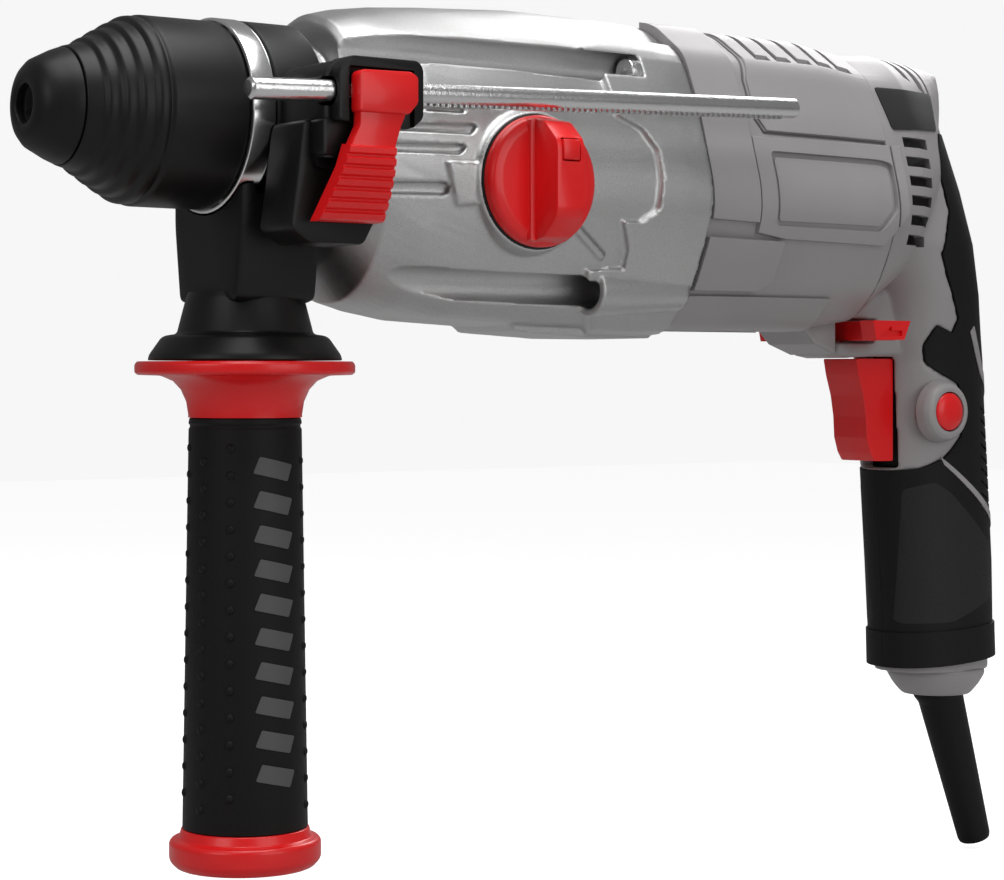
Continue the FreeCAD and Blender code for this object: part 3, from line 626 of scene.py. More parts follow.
def casing(sections, axis="x", sides=96):
    """A closed skin through rings. A section is its place, its centre, its half outline and its softness."""
    bm = bmesh.new()
    loops = []
    for along, middle, half, soft in sections:
        full = half + [(-across, up) for across, up in reversed(half) if across > 1e-6]
        ring = bmesh.ops.create_circle(bm, segments=sides, radius=1)["verts"]
        for vert in ring:
            angle = math.atan2(vert.co.x, vert.co.y)
            near = [angle + math.radians(soft) * share for share in (-1, -0.6, -0.2, 0.2, 0.6, 1)]
            size = sum(reach(full, turn) for turn in near) / len(near)
            across, up = size * math.sin(angle), size * math.cos(angle)
            vert.co = (along, -across, middle + up) if axis == "x" else (middle - up, -across, along)
        loops.append(list(dict.fromkeys(edge for vert in ring for edge in vert.link_edges)))
    for first, second in zip(loops, loops[1:]):
        bmesh.ops.bridge_loops(bm, edges=first + second)
    for loop in (loops[0], loops[-1]):
        bmesh.ops.contextual_create(bm, geom=loop)
    bmesh.ops.recalc_face_normals(bm, faces=bm.faces)
    return bm


def oval(first, second, power=2.0, corners=24):
    """Half the outline of an ellipse, or of a squarer shape for a larger power."""
    half = []
    for step in range(corners + 1):
        angle = math.pi * step / corners
        across, up = math.sin(angle), math.cos(angle)
        half.append((second * max(across, 0) ** (2 / power),
                     first * math.copysign(abs(up) ** (2 / power), up)))
    return half


print("shaping tools ready")

# %% [markdown]
# ## The nose
#
# The tool holder ends in a rubber dust cap, behind it comes the lock sleeve that is drawn back to free
# a bit, and then a nickel ring. All three are turned shapes, so each is one spun outline. The sleeve's
# ribs are soft steps, because a thumb pulls on them.

# %% Dust cap
piece("dust_cap_skin", turned([
    (-2.6, 5.3, 0.4), (-3.0, 6.6), (-2.7, 8.4), (-1.7, 10.6), (-0.2, 12.2), (2.2, 13.4), (5.0, 14.8),
    (7.9, 15.9, 0.5), (7.9, 9.8), (-0.05, 9.8), (-0.05, 5.3)], steps=128),
    NOSE_RUBBER, "spindle", "black_rubber", "dust_cap")

# %% Lock sleeve
RIB_FRONTS = (12.6, 16.6, 20.4, 24.2)
RIB_RADII = (19.0, 21.4, 23.6, 25.6)
sleeve_line = [(8.2, 11.5), (8.2, 16.1, 0.35)]
for front, radius in zip(RIB_FRONTS, RIB_RADII):
    sleeve_line += [(front, radius - 1.7, 0.5), (front + 0.9, radius - 0.2, 0.7),
                    (front + 3.0, radius + 0.1, 0.6)]
sleeve_line += [(28.2, 25.3, 0.4), (29.2, 26.1, 0.6), (51.2, 26.2, 0.8), (52.3, 25.4), (52.3, 25.0),
                (33, 25.0), (33, 11.5)]
piece("locking_sleeve_skin", turned(sleeve_line, steps=160), BLACK_PLASTIC, "lock_sleeve", "black_plastic",
      "locking_sleeve")

# %% Nickel ring
piece("chuck_ring_skin", turned([
    (51.85, 26.5), (52.1, 27.2, 0.2), (58.6, 27.2, 0.3), (59.1, 26.8, 0.1), (59.1, 14.2), (50.1, 14.2),
    (50.1, 15.9),
    (58.2, 15.9), (58.2, 26.4), (51.85, 26.4)], steps=160), NICKEL, "spindle", "bright_steel", "chuck_ring")

# %% [markdown]
# ## The gear housing
#
# This is the largest casting. Its front is round, for the spindle bearing, and its rear is a tall rounded
# polygon that meets the motor housing. Long grooves lead to the screws, and a round boss carries the
# mode knob. The shape is a casing with parts added and grooves cut away, and then it is remade from
# voxels, because a die casting is soft at every corner.

# %% Gear housing outline
GEAR_SECTIONS = [
    (82.6, 0, [(0, 29.5), (16, 25), (25, 15.5), (29.5, 0), (27, -17), (20, -29), (9, -36.5), (0, -38)], 9),
    (84.5, 0, [(0, 31.6), (16.5, 27), (26.5, 17), (31.2, 0), (29, -20), (21.5, -33), (9, -41), (0, -42.5)],
     9),
    (92, -3, [(0, 36.6), (16.5, 32), (28, 21), (34, 4), (33.8, -18), (26.5, -36), (12, -47.2), (0, -49)], 9),
    (104, -6, [(0, 41.2), (12.5, 38), (27, 29), (35, 14), (37.6, -8), (32, -32), (18, -46.5), (0, -48.4)], 8),
    (120, -9, [(0, 45.4), (12, 42.5), (27, 33), (35.5, 17), (39.6, -4), (37.5, -20), (31, -35.5), (19, -46.6),
               (0, -47)], 6),
    (153, -10, [(0, 48.6), (12, 45), (26.5, 35), (35, 17), (40.6, -3), (40.4, -13), (37, -22), (31, -36),
                (19, -47.4), (0, -47.8)], 5),
    (192, -10, [(0, 48.3), (12, 44.6), (26.5, 34.2), (34.6, 17), (40.8, -3), (41, -12), (37.6, -22),
                (31.2, -36), (19.2, -48.2), (0, -48.5)], 4),
    (201.6, -10, [(0, 47.8), (12, 44), (26.6, 33.2), (34.4, 16), (40.8, -4), (41, -11), (38, -20),
                  (31.3, -35), (19.4, -47.8), (0, -48)], 4),
]


def grown(half, by):
    """The outline moved out by a number of millimetres."""
    out = []
    for across, up in half:
        size = math.hypot(across, up)
        out.append((across * (size + by) / size, up * (size + by) / size))
    return out


SCREW_TOP = (-26.5, 18.6)
SCREW_LOW = (-28, -47)


def gear_shape(by):
    return casing([(x, middle, grown(half, by), soft) for x, middle, half, soft in GEAR_SECTIONS])


def both_sides(make):
    """A step for the left side and its mirror for the right side."""
    made = []
    for side in (-1, 1):
        shape = make()
        if side > 0:
            bmesh.ops.scale(shape, vec=(1, -1, 1), verts=shape.verts)
        made.append(shape)
    return made


print("gear housing rings:", len(GEAR_SECTIONS))

# %% [markdown]
# ### Raised and sunk shapes on the housing
#
# A rim before the joint stands proud, a faceted hood covers each screw channel, and a few slots are
# engraved near the nose. Each is the casing a little larger or smaller, met by an outline drawn from the
# side, so its face always follows the casing's curve.

# %% Gear housing parts
RIM_OUTLINE = [(182, 29), (162.4, 24.6), (167.6, 21.6), (168.6, 11), (170, 4), (177.8, 0.8), (182.4, -5.5),
               (182.4, -14.5), (181.2, -23.4), (175.4, -27.2), (169, -27.2), (173.2, -35.3), (173.6, -41),
               (160, -41.6), (166, -53), (176.8, -62), (201.6, -62), (201.6, 29)]


def channel(spot, front):
    """A groove of even width, ending in the hole that the screw goes through."""
    return turned([(front, 0), (front, 5.5), (184, 5.5), (184, 2.7), (192, 2.7), (192, 0)], centre=(0, *spot),
                  steps=40)


gear_steps = [plus(drum("x", 59.6, 35, 21.5)),
              plus(drum("y", -40.6, 9, 20.0, (137, -17), 21.5))]
for shape in both_sides(lambda: combined(gear_shape(1.9), within(plate(RIM_OUTLINE, -60, -4)))):
    gear_steps.append(plus(shape))
for shape in both_sides(lambda: drum("x", 165.3, 35, 7.8, SCREW_LOW, 5.5, sides=32)):
    gear_steps.append(plus(shape))
gear_steps.append(plus(plate([(138.4, -51), (148.7, -59.2), (176.4, -60.8), (199.3, -60.8), (199.3, -51)],
                             -15.2, 15.2)))
ICON_PLATE = [(107.6, -12.6), (117.8, -12.6), (117.8, -24), (111.5, -24.6)]
SLANTED_RIB = [(150.5, -29.4), (152.4, -28.2), (165.8, -37.2), (164.4, -38.6)]
for outline in (ICON_PLATE, SLANTED_RIB):
    gear_steps.append(plus(combined(gear_shape(1.2), within(plate(outline, -60, -20)))))
print("gear housing added parts:", len(gear_steps))

# %% [markdown]
# ### Cuts in the housing
#
# Each screw sits at the end of a long groove of even width, which leaves room for the driver. The slots
# near the nose and the hollow inside are cut as well. The hollow comes last, because a solid body takes
# joins and cuts more surely than a thin shell does.

# %% Gear housing cuts
for spot, front in ((SCREW_TOP, 78), (SCREW_LOW, 90)):
    gear_steps += [cut(shape) for shape in both_sides(lambda: channel(spot, front))]
gear_steps.append(cut(drum("y", -60, 30, 8.4, (137, -17))))
ENGRAVED = [
    [(89, 2.6), (116, 3.2), (114.6, 1.6), (89, 1.2)],
    [(89, -2.3), (119.4, -1.4), (116.6, -4.4), (89, -4.3)],
    [(88, -7.9), (115.4, -7.3), (112.6, -10.3), (88, -10.2)],
    [(86, -18.8), (109, -18.2), (109, -21.6), (86, -22.2)],
]
for outline in ENGRAVED:
    gear_steps.append(cut(combined(plate(outline, -60, -20), cut(gear_shape(-2.0)))))
hollow = casing([(x, middle, grown(half, -3.6), soft) for x, middle, half, soft in GEAR_SECTIONS[2:-1]] +
                [(203, -10, grown(GEAR_SECTIONS[-1][2], -3.6), 4)], sides=64)
for spot in (SCREW_TOP, SCREW_LOW):
    hollow = combined(hollow, *[cut(shape) for shape in both_sides(lambda: drum("x", 70, 130.8, 7.6, spot))])
gear_steps += [cut(hollow), cut(drum("x", 58, 37, 17.05))]
gear_cast = cast(combined(gear_shape(0), *gear_steps), 0.6, 1, 0.3)
piece("gear_housing_skin", gear_cast, BLASTED_ALUMINIUM, "housing", "cast_aluminium", "gear_housing",
      sharp=60)

# %% [markdown]
# ### The housing screws
#
# Four cap screws hold the two housings together. Only their heads show, at the end of the grooves, so
# each is one spun outline with a socket in the head.

# %% Housing screws
screws = []
for y, z in (SCREW_TOP, (-SCREW_TOP[0], SCREW_TOP[1]), SCREW_LOW, (-SCREW_LOW[0], SCREW_LOW[1])):
    screws.append(turned([(181.4, 0), (181.4, 1.7), (180.2, 1.7), (180.2, 4.2, 0.4), (184, 4.2), (184, 2.4),
                          (191, 2.4), (191, 0)], centre=(0, y, z), steps=32))
piece("gear_housing_screws_skin", joined(*screws), ZINC, "housing", "zinc_steel", "gear_housing_screws")

# %% [markdown]
# ## The rear casing and the pistol grip
#
# Two mirrored shells make the rear. Each is one moulding that runs from the motor down to the cable. The
# rear end is a casing along X and the grip is a casing along Z, and remaking both from voxels blends them
# as the mould does. Black rubber is moulded over the grip, so the same shapes a little larger or
# smaller give its outer and inner faces.

# %% Rear and grip shapes
MOTOR_HALF = [(0, 47.0), (12, 44.8), (26.4, 34.5), (33.6, 17), (39.8, -4), (40.4, -12), (37.6, -21),
              (31.2, -35), (19.4, -47), (0, -47.4)]
MOTOR_TAIL = [(0, 43.6), (12, 42.4), (25, 33.5), (32.6, 17), (38.4, -4), (39.2, -12), (36.6, -21),
              (30.2, -34), (19, -44.4), (0, -45)]
REAR_SECTIONS = [
    (282.1, -10, MOTOR_TAIL, 5),
    (300, -6, [(0, 41.4), (12, 39.5), (22, 31), (29, 16), (33.5, -3), (33.5, -14), (29, -26), (18.5, -36),
               (0, -38)], 7),
    (318, 0, [(0, 34.4), (8, 32.6), (15.5, 25.5), (20, 12), (23.5, -4), (22, -15), (14, -24), (0, -26)], 8),
    (330, 8, [(0, 25.4), (5, 23.6), (8.6, 17), (10.5, 5), (10.5, -8), (7, -14), (0, -15)], 8),
    (337.5, 20, [(0, 12), (2.4, 10.6), (3.6, 5), (3.8, 0), (3.4, -3), (2, -6), (0, -7)], 2),
]
GRIP_SECTIONS = [
    (16, 307, 23, 20), (-10, 312, 28, 24), (-28, 319, 26, 25.2), (-45, 325.6, 22.6, 23.6),
    (-67, 331, 22.3, 19.4),
    (-84, 332.3, 22.8, 18.4), (-100, 333.5, 23, 18.2), (-136, 336, 23, 18), (-160, 337, 22.6, 17.8),
    (-173, 337.5, 22.6, 18),
]


def rear_shape(by, front=282.1):
    rings = [(x, middle, grown(half, by), soft) for x, middle, half, soft in REAR_SECTIONS]
    rings[0] = (front, *rings[0][1:])
    return casing(rings, sides=112)


def grip_shape(by, foot=-173):
    rings = [(z, x, oval(deep + by, wide + by, 2.25), 2) for z, x, deep, wide in GRIP_SECTIONS]
    rings[-1] = (foot, *rings[-1][1:])
    return casing(rings, "z", 112)


RUBBER_EDGE = [(322, 9), (346, 9), (374, -60), (374, -176), (300, -176), (300, -106), (318, -103.5),
               (326, -100), (333, -93), (335.5, -84), (331, -75), (322.7, -71.1), (318, -68), (316.5, -62.1),
               (319.4, -55.4), (326, -58), (328, -53), (320.0, -37.5), (317.6, -31.9), (321.6, -17.7),
               (317.6, -2.5)]


def rubber_region(by=0.0):
    """The prism that holds the rubber of the grip, seen from the side."""
    return plate([(x - by, z) for x, z in RUBBER_EDGE], -40, 40)


print("rear rings:", len(REAR_SECTIONS), "grip rings:", len(GRIP_SECTIONS))

# %% [markdown]
# ## The motor housing
#
# Behind the gear housing sits a moulded grey casing for the motor. Its moulding is crisp: panels stand a
# little proud, thin grooves part them, and slots in the crown let air in. Here the edges matter, so this
# casing isn't remade from voxels. Each panel is cut out of a slightly larger casing and joined on.

# %% Motor housing outline
def motor_shape(by, front=202.1, rear=282):
    return casing([(front, -10, grown(MOTOR_HALF, by), 4), (262, -10, grown(MOTOR_HALF, by), 4),
                   (rear, -10, grown(MOTOR_TAIL, by), 5)], sides=128)


# %% [markdown]
# ### Panels on the motor casing
#
# Thin raised panels give the casing its look. Each is a slice of a slightly larger casing, so its face
# keeps the casing's curve, and each is joined on before the hollow is cut.

# %% Motor panels
def panel(corners, by, front=202.1, rear=282):
    """The left part of a larger casing inside an outline drawn from the side."""
    shape = combined(motor_shape(by, front, rear), within(plate(corners, -60, -6)))
    return combined(shape, cut(rear_shape(0.02))) if rear > 282 else shape


CROWN = [(229.6, 3.4), (226.6, 8), (226.6, 19), (229.4, 27), (226, 60), (283, 60), (283, 3.0)]
BADGE_FRAME = [(222, 1.0), (281, 1.4), (286.4, 1.6), (286.4, -20.4), (276.5, -31), (233.5, -30.2),
               (222, -28.6)]
BADGE_RECESS = [(228.5, -3.2), (276, -3.6), (281, -4.6), (281, -19.6), (274.5, -26.6), (228.5, -26.2)]
LOWER_STEP = [(202.2, -30.5), (233.4, -31), (233.4, -43.6), (228, -46.4), (202.2, -46.4)]
FRONT_BAND = [(202.2, -25), (221.4, -25.6), (221.4, 60), (202.2, 60)]
FOOT_BAND = [(202.2, -48), (226, -47.8), (262, -47.8), (262, -70), (202.2, -70)]
motor_steps = []
for outline, by, rear in ((CROWN, 0.7, 282), (BADGE_FRAME, 1.7, 288), (LOWER_STEP, 2.2, 282),
                          (FRONT_BAND, 1.9, 282),
                          (FOOT_BAND, 0.8, 282)):
    motor_steps += [plus(shape) for shape in both_sides(lambda: panel(outline, by, rear=rear))]
motor_steps.append(plus(plate([(262, -50), (266, -56), (272, -62), (281.95, -65.5), (281.95, -48)],
                                   -11.5, 11.5, rim=1.2)))
print("motor panels:", len(motor_steps))

# %% [markdown]
# ### Grooves, slots and seams
#
# Thin grooves part the panels, bent slots in the crown let air in, and a narrow seam runs round both
# ends. A cutter whose inner face follows the casing makes a groove of even depth.

# %% Motor grooves and slots
motor_cuts = [
    drum("x", 200, 68, 35.4, (0, -10.5), sides=96),
    drum("x", 266, 20, 33, (0, -10.5), sides=96),
]
for x in (235.8, 244.6, 253.6, 262.4, 271):
    motor_cuts += both_sides(lambda: combined(plate([
        (x - 1.0, -2), (x + 1.2, -2), (x + 1.2, -21.6), (x + 5.4, -22), (x + 5.4, -24.4), (x - 1.0, -24.4)],
                                                    15, 60, "xy"),
        cut(motor_shape(-2.2))))
motor_cuts += both_sides(lambda: combined(plate(BADGE_RECESS, -60, -20, by=1.5), cut(motor_shape(0.3))))
CROWN_LINE = [(228.9, 3.1), (226.0, 7.8), (226.0, 19.2), (228.7, 27), (225.4, 60), (224.4, 60), (227.6, 27.2),
              (225.0, 19.4), (225.0, 7.5), (228.5, 2.1), (284, 1.7), (284, 2.6)]
motor_cuts += both_sides(lambda: combined(plate(CROWN_LINE, -60, -3), cut(motor_shape(-1.3))))
SEAM = 0.6
for front, rear in ((202, 202.1 + SEAM), (282 - SEAM, 282.2)):
    motor_cuts.append(combined(block((front, -50, -70), (rear, 50, 40)), cut(motor_shape(-2.2, 201, 283))))
motor_body = combined(motor_shape(0), *motor_steps, *[cut(shape) for shape in motor_cuts])
piece("motor_housing_skin", motor_body, GREY_SOFT_EDGE, "housing", "grey_plastic", "motor_housing", sharp=22)

# %% [markdown]
# ### Blank badges
#
# A flat plate lies in the recess of each side panel. It could carry a name, and here it stays plain.

# %% Blank badges
badges = both_sides(lambda: combined(motor_shape(0.9), within(plate(BADGE_RECESS, -60, -20, by=1.5)),
                                     cut(motor_shape(0.2)),
                                     within(plate([(230, -5), (275.4, -5.2), (279.6, -6), (279.6, -19),
                                                   (274, -25),
                                                          (230, -24.8)], -60, -20, by=1.2))))
piece("badge_plates_skin", joined(*badges), GREY_SOFT_EDGE, "housing", "cast_aluminium", "badge_plates",
      sharp=25)

# %% [markdown]
# ### The grey shells
#
# The rubber needs its own bed, so the region that it covers is cut out of the grip down to the smaller
# shape. Slots for air, the openings for trigger, lever and button, and the room inside are all cut before
# the voxels, so that their edges come out slightly soft.

# %% Shell cuts
SHELL_SCREWS = [(300, 18, 25), (312, -34, 17), (345, -60, 10.8), (330, -118, 15.4), (333, -162, 15.4)]
shell_steps = [
    plus(rear_shape(0)),
    plus(plate([(282.1, -44), (282.1, -65.5), (288, -66.5), (300, -66), (316, -66), (316, -44)], -11.5, 11.5,
               rim=2)),
    cut(combined(rubber_region(0.25), cut(grip_shape(-1.8)), cut(rear_shape(0.3)))),
    cut(grip_shape(-4.2, -178)),
    cut(rear_shape(-2.8, 279)),
    plus(combined(rear_shape(-1), within(block((288, -40, -22), (295, 40, 1))))),
    cut(drum("x", 280, 20, 9.05, (0, -10.5))),
    cut(plate([(288, -64), (330, -64), (330, -102), (306, -104), (296, -100)], -8.4, 8.4)),
    cut(plate([(276.2, -61.6), (299.6, -61.6), (301.6, -53.4), (276.2, -53.4)], -40, 40)),
    cut(drum("y", -32, 30, 6.7, (323, -84.3))),
]
for x, z, head in SHELL_SCREWS:
    shell_steps.append(cut(drum("y", head - 2.6, 30, 3.9, (x, z), sides=32)))
shell_whole = cast(combined(grip_shape(0), *shell_steps), 0.8, 3, 0.62)
print("shell faces", len(shell_whole.faces))

# %% [markdown]
# ### Slots for the cooling air
#
# Three slots on top and six on each side let the fan's air out. They are cut after the shells are cast,
# so that their rims stay crisp.

# %% Air slots of the shells
def air_slots():
    side_slots = [plate([(291.6 + index * 0.1, 5.2 - index * 6.35), (307.4 + index * 0.4, 5.4 - index * 6.35),
                         (307.8 + index * 0.4, 2.0 - index * 6.35),
                         (291.8 + index * 0.1, 1.9 - index * 6.35)], -45, -12)
                  for index in range(6)]
    top_slots = [moved(plate([(-1.7, 0), (1.9, 0), (6.4, -15), (2.8, -15)], 16, 45, "xy"),
                       place=(303.5 + index * 7.2, -2.5, 0))
                 for index in range(3)]
    return joined(*side_slots, *top_slots)


# %% [markdown]
# ### Two halves
#
# The handle is moulded in two halves that meet in the middle. One whole shell is copied, cut by the
# middle plane and closed again, so both halves fit.

# %% Left and right shell
shell_whole = combined(shell_whole, *[cut(shape) for shape in both_sides(air_slots)])
for side, label in ((-1, "left"), (1, "right")):
    half = shell_whole.copy()
    bmesh.ops.bisect_plane(half, geom=half.verts[:] + half.edges[:] + half.faces[:],
                           plane_co=(0, side * 0.04, 0), plane_no=(0, -side, 0), clear_outer=True)
    bmesh.ops.holes_fill(half, edges=[edge for edge in half.edges if edge.is_boundary], sides=0)
    piece("handle_shell_" + label + "_skin", half, GREY_PLASTIC, "housing", "grey_plastic",
          "handle_shell_" + label, sharp=60)
shell_whole.free()

# %% [markdown]
# ### The rubber on the grip
#
# The rubber is proud by a few tenths. A panel with a leather grain is let into the side where the palm
# rests, fine slanted grooves run up the back, and a thicker band closes the foot.

# %% Rubber overmoulds
PALM_OUTLINE = [(313.6, -110.5), (322, -108), (328, -111.5), (350, -130.5), (353, -138), (353, -147),
                (330, -155.5), (314.4, -156)]
FOOT_BAND_EDGE = [(290, -160.5), (372, -156), (372, -167.2), (290, -172.95)]
for side, label in ((-1, "left"), (1, "right")):
    low, high = (-60, -0.04) if side < 0 else (0.04, 60)
    outer_low, outer_high = (-60, -3) if side < 0 else (3, 60)
    cover_steps = [
        within(rubber_region()),
        plus(combined(grip_shape(0.9), within(plate(FOOT_BAND_EDGE, -60, 60)))),
        within(plate([(270, 60), (390, 60), (390, -165.9), (270, -174.3)], -70, 70)),
        cut(combined(grip_shape(1.5), cut(grip_shape(-0.5)), within(plate(
            PALM_OUTLINE, outer_low, outer_high, by=1.6)))),
    ]
    for index in range(9):
        height = -84 - index * 4.2
        groove = combined(grip_shape(1.5), cut(grip_shape(-0.3)), within(plate(
            [(344, height), (362, height - 7), (362, height - 5.6), (344, height + 1.4)], outer_low,
            outer_high)))
        cover_steps.append(cut(groove))
    cover_steps += [
        cut(grip_shape(-1.6, -178)),
        cut(rear_shape(0.35)),
        cut(plate([(288, -64), (316, -64), (316, -102), (306, -104), (296, -100)], -8.4, 8.4)),
        within(block((280, low, -190), (380, high, 40))),
    ]
    if side > 0:
        cover_steps += [cut(drum("y", head - 2.6, 30, 3.9, (x, z), sides=32)) for x, z, head in SHELL_SCREWS]
    cover = piece("grip_overmould_" + label + "_skin", combined(grip_shape(0.25), *cover_steps), BLACK_RUBBER,
                  "housing", "black_rubber", "grip_overmould_" + label, sharp=30)
    soften(cover, 0.25)
    pad = combined(grip_shape(0.3), within(plate(
        PALM_OUTLINE, outer_low, outer_high, by=1.6)), cut(grip_shape(-0.45)))
    if side > 0:
        pad = combined(pad, *[cut(drum("y", head - 2.6, 30, 3.9, (x, z), sides=32)) for x, z,
                              head in SHELL_SCREWS])
    soften(piece("palm_pad_" + label, pad, LEATHER_GRAIN, "housing", "black_rubber", sharp=30), 0.2)

# %% Dark sheet behind the air slots, painted shade
# A black sheet in the middle plane, seen through the air slots: painted shade where the inside lies in
# shadow.
piece("slot_shade_sheet", block((297, -0.9, -36), (316, 0.9, 20), 0.4), BLACK_PLASTIC, "housing", "black_plastic")

# %% [markdown]
# ### Trims and inlays
#
# Two thin grey lines cross the rubber, and a dark glossy inlay sits high on each side. They are slices
# of a slightly larger grip or casing, so they hug the surface.

# %% Grey trims across the rubber
TRIMS = [[(324.0, -99.6), (325.6, -102.4), (359, -127.4), (359.5, -124.4)],
         [(334.5, -57.5), (336.6, -55.5), (345, -69), (357, -80.5), (357, -84), (343, -71.5)]]
for side, label in ((-1, "left"), (1, "right")):
    strips = [combined(grip_shape(0.55),
                       within(plate(outline, -60 if side < 0 else 2, -2 if side < 0 else 60)),
                       cut(grip_shape(-0.6))) for outline in TRIMS]
    piece("grip_trim_" + label, joined(*strips), GREY_PLASTIC, "housing", "grey_plastic", sharp=30)

# %% Dark inlays at the rear
for side, label in ((-1, "left"), (1, "right")):
    inlay = combined(rear_shape(0.45), within(plate(
        [(284.6, 21.4), (322.5, 22.4), (319.5, 9.4), (287.0, 7.2)], -60 if side < 0 else 8,
        -8 if side < 0 else 60, by=1.4)),
        cut(rear_shape(-0.6)))
    soften(piece("rear_inlay_" + label, inlay, DARK_INLAY, "housing", "black_plastic", sharp=30), 0.3)

# %% [markdown]
# ## The side handle
#
# The side handle clamps round the collar. Its black bracket holds the depth rod and the red lever that
# frees it. Below the bracket comes a red moulding with a wide flange and an end cap, and between them a
# rubber sleeve with rows of small dots that keep a gloved hand from turning.

# %% Bracket
ROD_TURN = Matrix.Rotation(math.radians(88), 3, "Y")
ROD_FRONT = (37.5, -48.6, 2.3)


def along_rod(shape):
    """A shape that was made along Z from zero, laid on the depth rod's line."""
    return moved(shape, ROD_TURN, ROD_FRONT)


bracket_steps = [
    plus(plate([(-19.5, -14), (-19.5, -30), (-16.5, -52), (16.5, -52), (19.5, -30), (19.5, -14)], 52.5, 78.5,
                    "yz", by=2.5, rim=2)),
    plus(turned([(-49, 0), (-49, 16), (-50.5, 16.6, 0.5), (-60.6, 19.2, 0.8), (-61.2, 23.2, 1.2),
                 (-66.6, 27, 0.8),
                      (-68, 27.2, 0.3), (-68, 0)], "z", (65, 0, 0))),
    plus(plate([(60.5, -17), (60.5, 8), (65, 12), (80, 12), (80, -8), (76, -17)], -49, -16, by=2, rim=1)),
    plus(plate([(62.5, -5), (62.5, 8.5), (66.5, 12.6), (88, 12.6), (89.6, 10.5), (89.6, -3), (86, -6)], -53.4,
               -43.8,
                    by=1.2, rim=0.7)),
    plus(plate([(58, -4), (56, -20), (54, -33), (60, -37), (77, -37), (82, -28), (83.5, -12), (83.5, -4)],
               -43.0, -26,
                    by=1.5, rim=0.8)),
    plus(plate([(60, -4), (60, -14), (80, -14), (83.5, -4)], -49.5, -41, by=1.2, rim=0.6)),
    cut(drum("x", 50, 40, 23.25)),
    cut(drum("x", 50, 9.5, 27.8)),
    cut(drum("z", -70, 60, 5.05, (65, 0))),
    cut(along_rod(drum("z", 10, 60, 3.95))),
    cut(block((65.6, -60, -15.5), (86.4, -51.2, 9.8), 0.5)),
    cut(block((50, -60, -40), (66.5, -45, -14.5))),
    cut(block((57, -22, -22.5), (62, -15.5, -17.5), 0.4)),
]
bracket = combined(turned([(59.7, 26.4), (60.3, 27, 0.3), (75.1, 27, 0.3), (75.7, 26.4), (75.7, 23.3),
                           (59.7, 23.3)]),
                   *bracket_steps)
soften(piece("handle_bracket_skin", bracket, BLACK_PLASTIC, "side_handle", "black_plastic", "handle_bracket",
             sharp=30), 0.3)

# %% [markdown]
# ### Depth lever and rod
#
# The lever is drawn from the end: a smooth upper pad, then six ribs that curve in under the thumb. The
# rod is plated steel with a row of fine teeth underneath, which the lever's tooth drops into.

# %% Depth lever
thumb_line = []
for rib in range(7):
    top = -11.4 - rib * 2.9
    for height, proud in ((top, 0), (top - 0.5, 0.8), (top - 2.0, 0.8), (top - 2.5, 0)):
        inward = 6.5 * max(0, (-14 - height) / 17.5) ** 1.6
        thumb_line.append((-55.8 - proud + inward, height))
thumb = plate([(-51.8, -11)] + thumb_line + [(-45.6, -31.4), (-48.6, -24), (-51.4, -17)], 64.2, 78.6, "yz")
for vert in thumb.verts:
    if vert.co.x < 70:
        vert.co.x += (vert.co.z + 11.4) * 0.3
upper = plate([(66.6, -2.6), (66.6, 7.6), (68, 8.6), (83.4, 8.9), (85.4, 7.6), (85.4, 0.6), (82.6, -2.6)],
              -57.2, -52.2, by=0.8, rim=0.9)
waist = plate([(64.4, -12.4), (67.6, -6), (67.6, -1.6), (82.4, -1.6), (80.4, -6), (78.4, -12.4)], -55.9,
              -52.2, by=0.6, rim=0.5)
lever = piece("depth_lever_skin", combined(upper, plus(waist), plus(thumb)), RED_PLASTIC, "depth_lever",
              "red_plastic", "depth_lever", sharp=35)
soften(lever, 0.18)

# %% [markdown]
# ### The depth rod
#
# The rod slides along its own axis through the bracket. A row of low blocks makes the teeth, and it is
# hidden under the rod, where the lever's tooth drops in.

# %% Depth rod
rod_shape = turned([(0, 0), (0, 2.2, 0.2), (0.8, 3, 0.2), (190.9, 3, 0.1), (191.5, 2.4), (191.5, 0)], "z",
                   steps=40)
teeth = []
for index in range(76):
    tooth = block((-3.42, -1.5, 34 + index * 2), (-2.6, 1.5, 35.1 + index * 2))
    teeth.append(moved(tooth, Matrix.Rotation(math.pi, 3, "Z")))
piece("depth_rod_skin", along_rod(joined(rod_shape, *teeth)), ZINC, "depth_rod", "zinc_steel", "depth_rod",
      sharp=35)

# %% [markdown]
# ### The red core
#
# The flange, the core under the rubber and the end cap are one moulding, so one outline is spun for all
# three.

# %% Red core, flange and cap
core = turned([
    (-68.3, 5.35), (-68.3, 30.2, 0.2), (-69.2, 30.9, 0.35), (-71.4, 30.9, 0.35), (-72.1, 30.0, 0.3),
    (-72.3, 23.6, 0.8),
    (-73.8, 20.2), (-76.2, 18), (-79.6, 16.5), (-83.2, 15.95), (-84, 15.95), (-84, 12), (-199, 12),
    (-199, 17.9, 0.3),
    (-201.6, 18.6, 0.3), (-202, 20.6, 0.3), (-202.9, 21.3, 0.5), (-207.8, 21.3, 1.0), (-210, 19.2, 0.8),
    (-210, 0),
    (-116, 0), (-116, 5.35)], "z", (65, 0, 0), 128)
piece("handle_core_skin", core, RED_PLASTIC, "side_grip", "red_plastic", "handle_core")

# %% [markdown]
# ### Dots in staggered columns
#
# Each dot is a small flattened sphere, half sunk in the sleeve. The sleeve is slightly conical, so each
# dot's distance from the axis follows its height. One stretch faces the left side and has plain raised
# bars in place of dots.

# %% Rubber sleeve
SLEEVE_TOP, SLEEVE_FOOT = -84.1, -198.9
DOT_COLUMNS = (-169, -138, -107, -76, -45, 45, 76, 107, 138, 169)


def sleeve_radius(height):
    return 15.7 + (SLEEVE_TOP - height) / (SLEEVE_TOP - SLEEVE_FOOT) * 1.9


